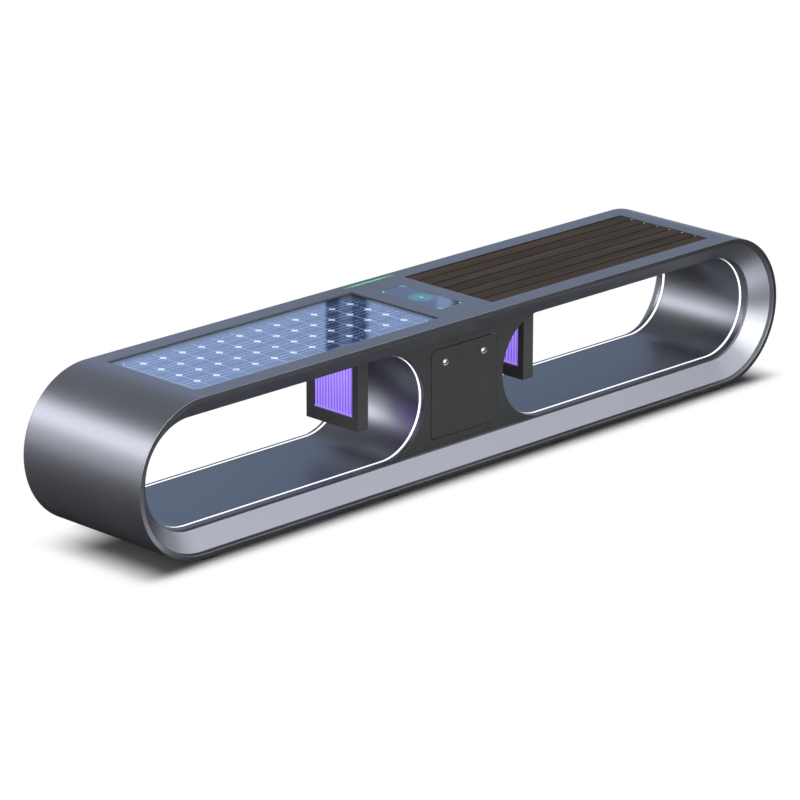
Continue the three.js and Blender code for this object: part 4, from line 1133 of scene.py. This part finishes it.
card("sky_card", toward(azimuth=44, height=18, distance=9, width=15, tall=6),
     ((0, (0.30, 0.40, 0.60)), (0.5, (0.47, 0.59, 0.86)), (1, (0.46, 0.56, 0.74))),
     ((0.40, grey(0.80, 0.97)), (0.61, grey(1.12, 1))))
card("camera_softbox", toward(azimuth=-118, height=24, distance=8, width=9, tall=8),
     ((0, grey(5.3, 0.96)), (0.3, grey(7.5, 0.94)), (0.8, grey(8.5, 0.94)), (1, grey(6.0, 0.98))))
plain_cards = (
    ("rear_flag", 86, 58, 7, 9, 5.4, [0.24]),
    ("upper_flag", 20, 48, 6.8, 3, 3, [0.34]),
    ("rear_softbox", 133, 25.2, 8, 6, 2.35, [6.2, 5.2]),
    ("low_softbox", 137, 6, 8.5, 7, 2.7, [1.2, 2.2]),
    ("front_softbox", -38, 44, 9, 8.5, 6, [2.7, 3.0]),
    ("front_flag", -46, 6, 8.8, 9, 4.4, [0.03]),
    ("overhead_softbox", -60, 82, 8, 6, 4, [2.6]),
    ("side_card", -2, 13, 8.6, 2.2, 2.6, [2.2]),
)
for name, azimuth, height, distance, width, tall, brightness in plain_cards:
    card(name, toward(azimuth, height, distance, width, tall), levels(*brightness))

shade_height = 2 * mm
patch_height = 3 * mm
front_fade = (0.2, 0.5)
front_share = 0.95
shade_stops = ((0, 0), (0.12, 0.03), (0.25, 0.12), (0.45, 0.20), (0.8, 0.32), (2, 0.5), (4, 0.8))
floor_shade = Finish("floor_shade", base_color=black, roughness=1.0, specular_ior_level=0.0)
x, y = floor_shade.axes()[:2]
distance = (abs(x) - straight_half).most(0).diagonal((abs(y) - shell_half).most(0))
shade = floor_shade.blend(distance, [(start, grey(level)) for start, level in shade_stops])
shade = floor_shade.mix(front_share * (-y).fade(*front_fade), shade, grey(0.02))
glossy_sheet("floor_shade", lying(0, 0, shade_height, length=9, width=8), floor_shade, shade)
card("floor_patch", lying(0.95, -0.47, patch_height, length=0.42, width=0.24), levels(4.4, 3.4))
card("front_patch", lying(-0.32, -0.45, patch_height, length=1.9, width=0.16), levels(2.1))

camera_place = Vector((-8.2268, -8.1042, 3.9451))
camera_azimuth = math.radians(-45.047)
camera_elevation = math.radians(18.245)
camera_roll = math.radians(0.066)

ahead = Vector((-math.sin(camera_azimuth), math.cos(camera_azimuth), 0))
across = Vector((math.cos(camera_azimuth), math.sin(camera_azimuth), 0))
board_turn = Matrix((across, (0, 0, 1), ahead)).transposed().to_4x4()
board_distance = 16.6
board_middle = 2.1
board_tall = 2.2
board_colour = (0.45, 0.57, 0.85)
boards = (("dark_boards", -0.182, 0.182, ((0, 1), (0.06, 0.04), (0.29, 0.04), (0.35, 0.35), (0.57, 0.35),
                                          (0.63, 0.04), (0.88, 0.04), (1, 1))),
          ("pale_board", 0.201, 0.064, ((0, 1), (0.1, 1.7), (0.9, 1.7), (1, 1))),
          ("dark_board", 0.259, 0.050, ((0, 1), (0.2, 0.1), (0.8, 0.1), (1, 1))))
for name, offset, wide, stops in boards:
    middle = Vector((*camera_place.xy, board_middle)) + board_distance * ahead + offset * across
    place = at(*middle) @ board_turn @ Matrix.Diagonal((wide, board_tall, 1, 1))
    card(name, place, ((0, board_colour),), [(share, grey(level)) for share, level in stops])


def lamp_light(name, place, aim_at, width, depth, power):
    light = bpy.data.lights.new(name, "AREA")
    light.shape = "RECTANGLE"
    light.size = width
    light.size_y = depth
    light.energy = power
    made = bpy.data.objects.new(name, light)
    facing = (place - aim_at).to_track_quat("Z", "Y").to_matrix().to_4x4()
    made.matrix_world = Matrix.Translation(place) @ facing
    made.visible_glossy = False
    scene.collection.objects.link(made)


lamp_light("key_light", Vector((-0.1, 0.45, 6.0)), Vector((-0.1, 0.4, 0)), width=3.4, depth=1.0, power=450)
lamp_light("fill_light", Vector((-4.6, -5.2, 0.9)), aim, width=4.0, depth=1.4, power=80)

lens = bpy.data.cameras.new("camera")
lens.lens = 197.24
lens.shift_x = 0.008435
lens.shift_y = 0.00573
lens.clip_end = 60
camera = bpy.data.objects.new("camera", lens)
turn = Matrix.Rotation(camera_azimuth, 4, "Z") @ Matrix.Rotation(math.pi / 2 - camera_elevation, 4, "X")
camera.matrix_world = Matrix.Translation(camera_place) @ turn @ Matrix.Rotation(camera_roll, 4, "Z")
scene.collection.objects.link(camera)
scene.camera = camera
